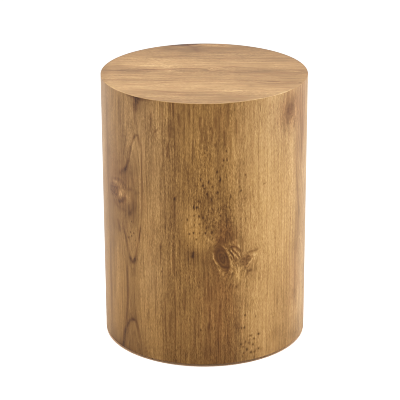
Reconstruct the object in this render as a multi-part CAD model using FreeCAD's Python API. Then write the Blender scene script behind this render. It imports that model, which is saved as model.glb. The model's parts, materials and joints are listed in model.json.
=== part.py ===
import FreeCAD, Part
import os

from FreeCAD import Vector

# A round drum side table. Wood-grain laminate covers the top and wraps the drum. Inside, two layers of
# bending plywood are rolled over a cage of four rings and six upright battens, between a top board and
# a base board, and the drum stands on four nailed glides.
# All lengths are in millimetres. The origin is on the floor under the drum's axis, +Z is up, and the
# front of the table faces -Y.

# Overall size
table_diameter = 381.0
table_height = 508.0

# Decorative laminate on the top and the side, and the plain balancing sheet under the top board
laminate_thickness = 0.8
laminate_eased_radius = 0.4
laminate_foot_gap = 0.5
laminate_seam_gap = 0.3
balance_sheet_thickness = 0.8

# Glue between the rolled layers, left as a gap
glue_line_thickness = 0.2

# Boards
top_board_thickness = 18.0
base_board_thickness = 12.0

# Bending plywood, one layer inside the other, each rolled round and butted at its own seam
inner_skin_thickness = 5.0
outer_skin_thickness = 5.0
skin_seam_gap = 0.4

# Rings that give the drum its curve, notched for the battens
ring_thickness = 18.0
ring_width = 45.0
notch_side_gap = 0.1

# Upright battens, planed round on the outside
batten_width = 30.0
seam_batten_width = 60.0
batten_depth = 18.0

# Dowels that place the top board on the top ring
dowel_diameter = 8.0
dowel_length = 25.0
dowel_end_gap = 0.5
dowel_chamfer = 1.0

# Countersunk wood screws with a cross recess
screw_shank_diameter = 3.6
screw_thread_diameter = 4.0
screw_root_diameter = 2.8
screw_head_diameter = 8.0
screw_head_rim = 0.4
screw_length = 25.0
screw_plain_length = 9.0
screw_point_length = 4.0
screw_pitch = 1.6
recess_width = 0.9
recess_span = 4.6
recess_depth = 1.6

# Brads that pin each batten into each ring
brad_diameter = 1.6
brad_length = 30.0
brad_head_diameter = 3.0
brad_head_thickness = 0.8
brad_set_depth = 0.5

# Nailed nylon glides
glide_diameter = 25.0
glide_height = 4.0
glide_foot_diameter = 19.0
glide_shoulder_height = 2.2
glide_recess_diameter = 8.0
glide_recess_depth = 1.6
glide_inset = 13.0
nail_diameter = 2.0
nail_head_diameter = 6.0
nail_head_thickness = 1.0
nail_length = 12.0
nail_point_length = 2.0

# Cuts run this far past the faces that they open
overrun = 1.0

# Angles in degrees about +Z from +X, anticlockwise from the front or the back. A bay is the space from
# one batten to the next, and the top ring and the bottom ring take their fasteners in the bays.
full_turn = 360
front_angle = -90
back_angle = 90
batten_names = [
    "batten_front",
    "batten_front_right",
    "batten_rear_right",
    "seam_batten",
    "batten_rear_left",
    "batten_front_left",
]
bay_angle = full_turn / len(batten_names)
batten_angles = {name: front_angle + place * bay_angle for place, name in enumerate(batten_names)}
screw_bay_share = 0.5
dowel_bay_share = 0.75
screw_angles = [angle + screw_bay_share * bay_angle for angle in batten_angles.values()]
dowel_angles = [angle + dowel_bay_share * bay_angle for angle in batten_angles.values()]
glide_names = ["glide_front_right", "glide_rear_right", "glide_rear_left", "glide_front_left"]
quarter_angle = full_turn / len(glide_names)
glide_angles = {
    name: front_angle + quarter_angle / 2 + place * quarter_angle
    for place, name in enumerate(glide_names)
}
laminate_seam_angle = back_angle
inner_skin_seam_angle = back_angle
outer_skin_seam_angle = batten_angles["batten_rear_left"]

# Radii, from the laminate inwards
table_radius = table_diameter / 2
core_radius = table_radius - laminate_thickness - glue_line_thickness
outer_skin_inside = core_radius - outer_skin_thickness
inner_skin_radius = outer_skin_inside - glue_line_thickness
cage_radius = inner_skin_radius - inner_skin_thickness - glue_line_thickness
ring_inside = cage_radius - ring_width
ring_middle = cage_radius - ring_width / 2
batten_inside = cage_radius - batten_depth
glide_circle = table_radius - glide_inset - glide_diameter / 2

# Heights, from the floor up
base_bottom = glide_height
base_top = base_bottom + base_board_thickness
top_laminate_bottom = table_height - laminate_thickness
top_board_bottom = top_laminate_bottom - top_board_thickness
balance_bottom = top_board_bottom - balance_sheet_thickness
cage_height = balance_bottom - base_top
ring_names = ["bottom_ring", "lower_ring", "upper_ring", "top_ring"]
ring_step = (cage_height - ring_thickness) / (len(ring_names) - 1)
ring_bottoms = {name: base_top + place * ring_step for place, name in enumerate(ring_names)}


def disc(radius, bottom, thickness):
    return Part.makeCylinder(radius, thickness, Vector(0, 0, bottom))


def tube(outer, inner, bottom, height):
    bore = disc(inner, bottom - overrun, height + 2 * overrun)
    return disc(outer, bottom, height).cut(bore)


def turned(shape, angle):
    copy = shape.copy()
    copy.rotate(Vector(0, 0, 0), Vector(0, 0, 1), angle)
    return copy


def moved(shape, x, z):
    copy = shape.copy()
    copy.translate(Vector(x, 0, z))
    return copy


def upright_block(width, inner, outer, bottom, height):
    """A block that lies along +X from radius inner to radius outer, centred on Y."""
    return Part.makeBox(outer - inner, width, height, Vector(inner, -width / 2, bottom))


def revolved(points):
    """A solid turned about Z from an outline of (radius, height) points."""
    corners = [Vector(radius, 0, height) for radius, height in points]
    outline = Part.makePolygon(corners + corners[:1])
    return Part.Face(outline).revolve(Vector(0, 0, 0), Vector(0, 0, 1), 360)


def rolled_sheet(outer, thickness, bottom, height, seam_gap, seam_angle):
    """A sheet rolled into a drum, with a butt seam."""
    sheet = tube(outer, outer - thickness, bottom, height)
    seam = upright_block(
        seam_gap,
        outer - thickness - overrun,
        outer + overrun,
        bottom - overrun,
        height + 2 * overrun,
    )
    return sheet.cut(turned(seam, seam_angle))


def width_of_batten(name):
    return seam_batten_width if name == "seam_batten" else batten_width


def wood_screw():
    """A screw along +Z with its head at the origin, pointing up, with ridges for its thread."""
    head, shank = screw_head_diameter / 2, screw_shank_diameter / 2
    thread, root = screw_thread_diameter / 2, screw_root_diameter / 2
    cone_top = screw_head_rim + head - shank
    points = [(0, 0), (head, 0), (head, screw_head_rim), (shank, cone_top)]
    points += [(shank, screw_plain_length), (root, screw_plain_length)]
    point_start = screw_length - screw_point_length
    ridges = int((point_start - screw_plain_length) / screw_pitch)
    for ridge in range(ridges):
        low = screw_plain_length + ridge * screw_pitch
        points += [(root, low + screw_pitch / 4), (thread, low + screw_pitch / 2)]
        points += [(root, low + 3 * screw_pitch / 4)]
    points += [(root, point_start), (0, screw_length)]
    return revolved(points)


def cross_recess():
    """The cross that a driver turns, cut into the head from below."""
    arm = Part.makeBox(
        recess_span,
        recess_width,
        recess_depth + overrun,
        Vector(-recess_span / 2, -recess_width / 2, -overrun),
    )
    return arm.fuse(turned(arm, 90))


def screws_at(height):
    return [turned(moved(wood_screw(), ring_middle, height), a) for a in screw_angles]


def driven_screws(height):
    """The screws with their recesses, standing with their heads at that height."""
    return [
        turned(moved(wood_screw().cut(cross_recess()), ring_middle, height), a)
        for a in screw_angles
    ]


def dowel():
    """A chamfered dowel across the joint between the top ring and the top board."""
    middle = top_board_bottom - balance_sheet_thickness / 2
    plain = disc(dowel_diameter / 2, middle - dowel_length / 2, dowel_length)
    ends = [e for e in plain.Edges if len(e.Vertexes) == 1]
    return moved(plain.makeChamfer(dowel_chamfer, ends), ring_middle, 0)


def dowel_hole():
    middle = top_board_bottom - balance_sheet_thickness / 2
    length = dowel_length + 2 * dowel_end_gap
    return moved(disc(dowel_diameter / 2, middle - length / 2, length), ring_middle, 0)


def brad(ring_bottom):
    """A brad that points inwards along -X, with its head sunk in the batten's round face."""
    height = ring_bottom + ring_thickness / 2
    start = cage_radius - brad_set_depth
    inwards = Vector(-1, 0, 0)
    head_radius, shank_radius = brad_head_diameter / 2, brad_diameter / 2
    head = Part.makeCylinder(
        head_radius, brad_head_thickness, Vector(start, 0, height), inwards
    )
    shank = Part.makeCylinder(
        shank_radius, brad_length, Vector(start, 0, height), inwards
    )
    return head.fuse(shank).removeSplitter()


def brad_hole(ring_bottom):
    """The brad's own hole, open to the batten's face where the head was punched in."""
    height = ring_bottom + ring_thickness / 2
    punch = Part.makeCylinder(
        brad_head_diameter / 2,
        brad_set_depth + overrun,
        Vector(cage_radius + overrun, 0, height),
        Vector(-1, 0, 0),
    )
    return brad(ring_bottom).fuse(punch)


def nail():
    """A glide's nail, pointing up, with its head in the glide's recess."""
    head, shank = nail_head_diameter / 2, nail_diameter / 2
    seat = glide_recess_depth
    under = seat - nail_head_thickness
    tip = seat + nail_length
    outline = [(0, under), (head, under), (head, seat), (shank, seat)]
    outline += [(shank, tip - nail_point_length), (0, tip)]
    return moved(revolved(outline), glide_circle, 0)


def glide():
    """A nylon glide with a narrower foot, and a recess that keeps the nail off the floor."""
    rim, foot = glide_diameter / 2, glide_foot_diameter / 2
    recess, shank = glide_recess_diameter / 2, nail_diameter / 2
    outline = [(shank, glide_recess_depth), (recess, glide_recess_depth), (recess, 0)]
    outline += [(foot, 0), (rim, glide_shoulder_height), (rim, glide_height)]
    outline += [(shank, glide_height)]
    return moved(revolved(outline), glide_circle, 0)


def top_laminate():
    sheet = disc(table_radius, top_laminate_bottom, laminate_thickness)
    rim = [e for e in sheet.Edges if e.BoundBox.ZMin > table_height - laminate_thickness / 2]
    return sheet.makeFillet(laminate_eased_radius, rim)


def top_board():
    board = disc(core_radius, top_board_bottom, top_board_thickness)
    for angle in dowel_angles:
        board = board.cut(turned(dowel_hole(), angle))
    for screw in screws_at(ring_bottoms["top_ring"]):
        board = board.cut(screw)
    return board


def top_balance_sheet():
    sheet = disc(core_radius, balance_bottom, balance_sheet_thickness)
    for angle in dowel_angles:
        sheet = sheet.cut(turned(dowel_hole(), angle))
    for screw in screws_at(ring_bottoms["top_ring"]):
        sheet = sheet.cut(screw)
    return sheet


def ring(name):
    """A ring with a notch for each batten, a hole for each brad and its own screws and dowels."""
    bottom = ring_bottoms[name]
    body = tube(cage_radius, ring_inside, bottom, ring_thickness)
    for batten, angle in batten_angles.items():
        notch = upright_block(
            width_of_batten(batten) + 2 * notch_side_gap,
            batten_inside,
            cage_radius + overrun,
            bottom - overrun,
            ring_thickness + 2 * overrun,
        )
        body = body.cut(turned(notch, angle))
        body = body.cut(turned(brad(bottom), angle))
    if name == "top_ring":
        for angle in dowel_angles:
            body = body.cut(turned(dowel_hole(), angle))
        for screw in screws_at(bottom):
            body = body.cut(screw)
    if name == "bottom_ring":
        for screw in screws_at(base_bottom):
            body = body.cut(screw)
    return body


def batten(name):
    """An upright from the base board to the balancing sheet, round outside and flat inside."""
    angle = batten_angles[name]
    block = upright_block(
        width_of_batten(name), batten_inside, cage_radius, base_top, cage_height
    )
    body = block.common(disc(cage_radius, base_top, cage_height))
    for bottom in ring_bottoms.values():
        body = body.cut(brad_hole(bottom))
    return turned(body, angle)


def inner_skin():
    return rolled_sheet(
        inner_skin_radius,
        inner_skin_thickness,
        base_top,
        cage_height,
        skin_seam_gap,
        inner_skin_seam_angle,
    )


def outer_skin():
    return rolled_sheet(
        core_radius,
        outer_skin_thickness,
        base_top,
        cage_height,
        skin_seam_gap,
        outer_skin_seam_angle,
    )


def side_laminate():
    """The wrap, from just above the base board's lower edge up to the top laminate."""
    bottom = base_bottom + laminate_foot_gap
    return rolled_sheet(
        table_radius,
        laminate_thickness,
        bottom,
        top_laminate_bottom - bottom,
        laminate_seam_gap,
        laminate_seam_angle,
    )


def base_board():
    board = disc(core_radius, base_bottom, base_board_thickness)
    for screw in screws_at(base_bottom):
        board = board.cut(screw)
    for angle in glide_angles.values():
        board = board.cut(turned(nail(), angle))
    return board


def all_pieces():
    """Every node's name with its solids."""
    pieces = {
        "top_laminate": [top_laminate()],
        "top_board": [top_board()],
        "top_balance_sheet": [top_balance_sheet()],
        "inner_skin": [inner_skin()],
        "outer_skin": [outer_skin()],
        "side_laminate": [side_laminate()],
        "base_board": [base_board()],
        "top_dowels": [turned(dowel(), angle) for angle in dowel_angles],
        "top_screws": driven_screws(ring_bottoms["top_ring"]),
        "base_screws": driven_screws(base_bottom),
        "glide_nails": [turned(nail(), angle) for angle in glide_angles.values()],
    }
    for name in ring_names:
        pieces[name] = [ring(name)]
    for name in batten_angles:
        pieces[name] = [batten(name)]
    for name, angle in glide_angles.items():
        pieces[name] = [turned(glide(), angle)]
    pieces["batten_brads"] = [
        turned(brad(bottom), angle)
        for angle in batten_angles.values()
        for bottom in ring_bottoms.values()
    ]
    return pieces


def write_parts():
    os.makedirs("parts", exist_ok=True)
    for name, solids in all_pieces().items():
        found = [solid for shape in solids for solid in shape.Solids]
        shape = found[0] if len(found) == 1 else Part.makeCompound(found)
        shape.exportStep(f"parts/{name}.step")
        volume = sum(solid.Volume for solid in found)
        valid = all(solid.isValid() for solid in found)
        print(f"{name}: {len(found)} solids, {volume / 1000:.1f} cm3, valid {valid}")


write_parts()
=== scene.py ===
import json
import math

import bpy
import numpy as np
from mathutils import Matrix, Vector


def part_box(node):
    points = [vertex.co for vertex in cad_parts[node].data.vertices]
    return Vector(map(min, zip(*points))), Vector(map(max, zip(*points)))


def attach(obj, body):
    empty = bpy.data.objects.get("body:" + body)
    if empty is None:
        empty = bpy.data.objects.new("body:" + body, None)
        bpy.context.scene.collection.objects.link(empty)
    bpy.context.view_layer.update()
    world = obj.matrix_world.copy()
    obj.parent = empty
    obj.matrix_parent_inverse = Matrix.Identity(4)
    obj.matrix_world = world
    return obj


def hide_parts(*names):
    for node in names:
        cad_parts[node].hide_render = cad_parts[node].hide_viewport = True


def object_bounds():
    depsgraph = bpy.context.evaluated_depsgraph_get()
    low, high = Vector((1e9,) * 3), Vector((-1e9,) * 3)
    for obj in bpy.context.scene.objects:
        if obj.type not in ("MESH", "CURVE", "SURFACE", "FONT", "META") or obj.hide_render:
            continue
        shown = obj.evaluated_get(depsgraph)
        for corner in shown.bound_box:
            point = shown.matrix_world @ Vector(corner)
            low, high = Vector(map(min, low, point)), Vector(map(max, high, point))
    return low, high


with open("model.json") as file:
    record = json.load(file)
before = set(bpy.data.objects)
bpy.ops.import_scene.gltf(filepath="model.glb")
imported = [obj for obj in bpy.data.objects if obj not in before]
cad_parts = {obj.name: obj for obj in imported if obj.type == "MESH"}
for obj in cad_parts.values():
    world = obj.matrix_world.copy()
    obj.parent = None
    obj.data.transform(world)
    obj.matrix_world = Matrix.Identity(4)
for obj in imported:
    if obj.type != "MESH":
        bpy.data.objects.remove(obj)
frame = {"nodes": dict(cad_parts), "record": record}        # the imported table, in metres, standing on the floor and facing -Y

cadLow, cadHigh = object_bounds()        # the box round the imported table
mm = 0.001
tableRadius = min(cadHigh.x, cadHigh.y, -cadLow.x, -cadLow.y) / mm


# Camera, where the photograph was taken from
camera = dict(
    lens=160.7,             # mm on a 36 mm sensor
    sensor=36.0,
    away=3.151,             # metres in front of the drum's axis
    height=1.461,
    lookDown=20.93,         # degrees below level
    roll=-0.169,
    shift=-0.0115,          # the drum stands a little right of the middle
)


def placeCamera(c):
    # stands at (0, -away, height), tips its level view down by lookDown and rolls about its own axis
    data = bpy.data.cameras.new("camera")
    data.lens = c["lens"]
    data.sensor_width = c["sensor"]
    data.shift_x = c["shift"]
    spot = bpy.data.objects.new("camera", data)
    bpy.context.scene.collection.objects.link(spot)
    tip = Matrix.Rotation(math.radians(90 - c["lookDown"]), 4, "X")
    turn = Matrix.Rotation(math.radians(c["roll"]), 4, "Z")
    spot.matrix_world = Matrix.Translation((0, -c["away"], c["height"])) @ tip @ turn
    bpy.context.scene.camera = spot


placeCamera(camera)
print("camera placed")


# Node helpers, shared by every finish
def newFinish(name):
    material = bpy.data.materials.new(name)
    material.use_nodes = True
    tree = material.node_tree
    return material, tree, tree.nodes["Principled BSDF"]


def addNode(tree, kind, inputs=None, **settings):
    # makes one node, sets its own settings, then fills each input with a link or a plain value
    made = tree.nodes.new("ShaderNode" + kind)
    for key, value in settings.items():
        setattr(made, key, value)
    for key, value in (inputs or {}).items():
        if isinstance(value, bpy.types.NodeSocket):
            tree.links.new(value, made.inputs[key])
        else:
            made.inputs[key].default_value = value
    return made


def calc(tree, operation, a, b=0.0, c=0.0):
    return addNode(tree, "Math", {0: a, 1: b, 2: c}, operation=operation).outputs[0]


def product(tree, first, *others):
    for other in others:
        first = calc(tree, "MULTIPLY", first, other)
    return first


def addUp(tree, parts):
    # the sum of socket * weight over all parts
    total = 0.0
    for socket, weight in parts:
        total = calc(tree, "MULTIPLY_ADD", socket, weight, total)
    return total


def stretched(tree, vector, sizes):
    # the vector divided by a size in each direction, so a size is one feature's width there
    scale = tuple(1 / size for size in sizes)
    return addNode(tree, "VectorMath", {0: vector, 1: scale}, operation="MULTIPLY").outputs[0]


def noiseAt(tree, vector, sizes, detail=2.0, rough=0.5):
    # noise about 0, from about -0.5 to 0.5
    inputs = {"Vector": stretched(tree, vector, sizes), "Scale": 1.0, "Detail": detail, "Roughness": rough}
    return calc(tree, "SUBTRACT", addNode(tree, "TexNoise", inputs).outputs[0], 0.5)


def stepUp(tree, value, low, high):
    # 0 below low, 1 above high, smooth between
    inputs = {"Value": value, "From Min": low, "From Max": high}
    return addNode(tree, "MapRange", inputs, interpolation_type="SMOOTHSTEP").outputs[0]


def ringLine(tree, count, start, full):
    # one line in each whole count: it darkens slowly from start to full and ends sharply
    part = calc(tree, "FRACT", count)
    return product(tree, stepUp(tree, part, start, full), stepUp(tree, part, 1.0, 0.9))


def linear(colour):
    # a 0-255 screen colour as linear light
    share = np.array(colour) / 255.0
    return tuple(np.where(share > 0.04045, ((share + 0.055) / 1.055) ** 2.4, share / 12.92)) + (1.0,)


def mixed(tree, share, first, second, way="MIX"):
    return addNode(tree, "MixRGB", {0: share, 1: first, 2: second}, blend_type=way).outputs[0]


def rampOf(tree, value, stops):
    # colours along a line, from (place, 0-255 colour) stops
    made = addNode(tree, "ValToRGB", {"Fac": value})
    marks = made.color_ramp.elements
    while len(marks) < len(stops):
        marks.new(0.5)
    for mark, (place, colour) in zip(marks, stops):
        mark.position = place
        mark.color = linear(colour)
    return made.outputs[0]


def roughen(tree, shader, height, depth):
    # tips the surface by a height pattern of that depth in metres
    bump = addNode(tree, "Bump", {"Height": height, "Distance": depth, "Strength": 1.0})
    tree.links.new(bump.outputs[0], shader.inputs["Normal"])


# The printed wood figure, worked out in mm on the flat sheet: s runs round the drum from the front,
# to the right, and z is the height above the floor
def softNoise(x, y, size, seed):
    # the mean of eight sine waves in random directions, each about size long
    chance = np.random.default_rng(seed)
    total = np.zeros_like(x)
    for _ in range(8):
        angle, phase = chance.uniform(0, 2 * np.pi, 2)
        wave = 2 * np.pi / size * chance.uniform(0.6, 1.5)
        total += np.sin(wave * (x * np.cos(angle) + y * np.sin(angle)) + phase)
    return total / 8


def wander(x, y, amount, stretchX, stretchY, size, seed):
    # amount * soft noise, drawn out in x and y
    return amount * softNoise(x / stretchX, y / stretchY, size, seed)


def ease(value, low, high):
    # 0 at low, 1 at high, smooth between
    t = np.clip((value - low) / (high - low), 0, 1)
    return t * t * (3 - 2 * t)


def profileAt(place, stops):
    # straight lines between (place, value) stops
    return np.interp(place, *zip(*stops))


def curveThrough(points, steps=10):
    # a Catmull-Rom curve that passes through every point
    p = np.array(points, float)
    p = np.vstack([2 * p[0] - p[1], p, 2 * p[-1] - p[-2]])
    t = np.linspace(0, 1, steps, endpoint=False)[:, None, None]
    a, b, c, d = p[:-3], p[1:-2], p[2:-1], p[3:]
    run = 2 * b + (c - a) * t + (2 * a - 5 * b + 4 * c - d) * t**2 + (3 * b - a - 3 * c + d) * t**3
    return np.vstack([(run / 2).transpose(1, 0, 2).reshape(-1, 2), p[-2]])


strokeEnds = (-0.05, 0.2)        # a stroke comes in from nothing to full between these shares of its length
knotReach = 1.6                  # a knot's rings are counted this far out, as a share of its radius


def strokeShade(s, z, strokes):
    # each stroke adds strength * exp(-(distance / width)^2), and thins out towards both its ends
    total = np.zeros_like(s)
    for width, strength, *points in strokes:
        line = curveThrough(points)
        low, high = line.min(0) - 3 * width, line.max(0) + 3 * width
        near = (s > low[0]) & (s < high[0]) & (z > low[1]) & (z < high[1])
        here = np.stack([s[near], z[near]], 1)[:, None]
        start, run = line[:-1], np.diff(line, axis=0)
        along = np.clip(((here - start) * run).sum(2) / (run**2).sum(1), 0, 1)
        gap = np.linalg.norm(here - start - along[..., None] * run, axis=2)
        nearest = gap.argmin(1)
        rows = np.arange(len(nearest))
        share = (nearest + along[rows, nearest]) / len(run)
        fade = ease(share, *strokeEnds) * ease(1 - share, *strokeEnds)
        total[near] += strength * fade * np.exp(-((gap[rows, nearest] / width) ** 2))
    return total / 100


def ovalDistance(s, z, middle, halfWidth, halfHeight, tilt=0):
    # distance from an oval's middle, as a share of the oval's own radius that way
    turn = math.radians(tilt)
    x, y = s - middle[0], z - middle[1]
    across = x * math.cos(turn) + y * math.sin(turn)
    along = y * math.cos(turn) - x * math.sin(turn)
    return np.hypot(across / halfWidth, along / halfHeight)


def patchShade(s, z, patches):
    # each patch adds strength * exp(-distance^2) over an oval
    total = np.zeros_like(s)
    for x, y, halfWidth, halfHeight, strength, *tilt in patches:
        total += strength * np.exp(-(ovalDistance(s, z, (x, y), halfWidth, halfHeight, *tilt) ** 2))
    return total / 100


def flowRound(s, z, knots):
    # grain lines pass each knot as a stream passes a pebble: x turns to x * (1 - 1 / distance^2) outside
    # the knot, and to x * (1 - distance^2) inside it
    across = s.copy()
    for knot in knots:
        far = ovalDistance(s, z, knot["at"], knot["wide"], knot["high"], knot["tilt"])
        across -= (s - knot["at"][0]) * knot["push"] * np.minimum(far, 1) ** 2 / np.maximum(far, 1) ** 2
    return across


def knotFields(s, z, knots):
    # for the nearest knot: its ring count outwards from the middle, how dark the knot is there, and what
    # share of the fibres shows
    phase, depth, fibres = np.zeros_like(s), np.zeros_like(s), np.ones_like(s)
    for knot in knots:
        far = ovalDistance(s, z, knot["at"], knot["wide"], knot["high"], knot["tilt"])
        inside = far < knotReach
        phase[inside] = far[inside] * knot["rings"]
        cover = ease(far, 1 + knot["soft"], 1 - knot["soft"])
        depth = np.maximum(depth, knot["dark"] * cover)
        fibres = fibres * (1 - knot["smooth"] * cover)
    return phase, depth, fibres


def ringPhase(s, z, across, boards):
    # on each board, rings are counted by distance from the heart: hypot(across - heart, depth), where the
    # depth swells as a cosine along the board
    phase, show, board = np.zeros_like(s), np.zeros_like(s), np.zeros_like(s)
    for number, b in enumerate(boards):
        swell = b["rise"] ** 2 * (1 - np.cos(2 * np.pi * (z - b["middle"]) / b["length"]))
        far = np.sqrt((across - b["heart"]) ** 2 + b["deep"] ** 2 + swell)
        mine = (s >= b["left"]) & (s < b["right"])
        phase[mine] = far[mine] / b["gap"]
        show[mine] = b["show"]
        board[mine] = number
    return phase, show, board


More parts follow.
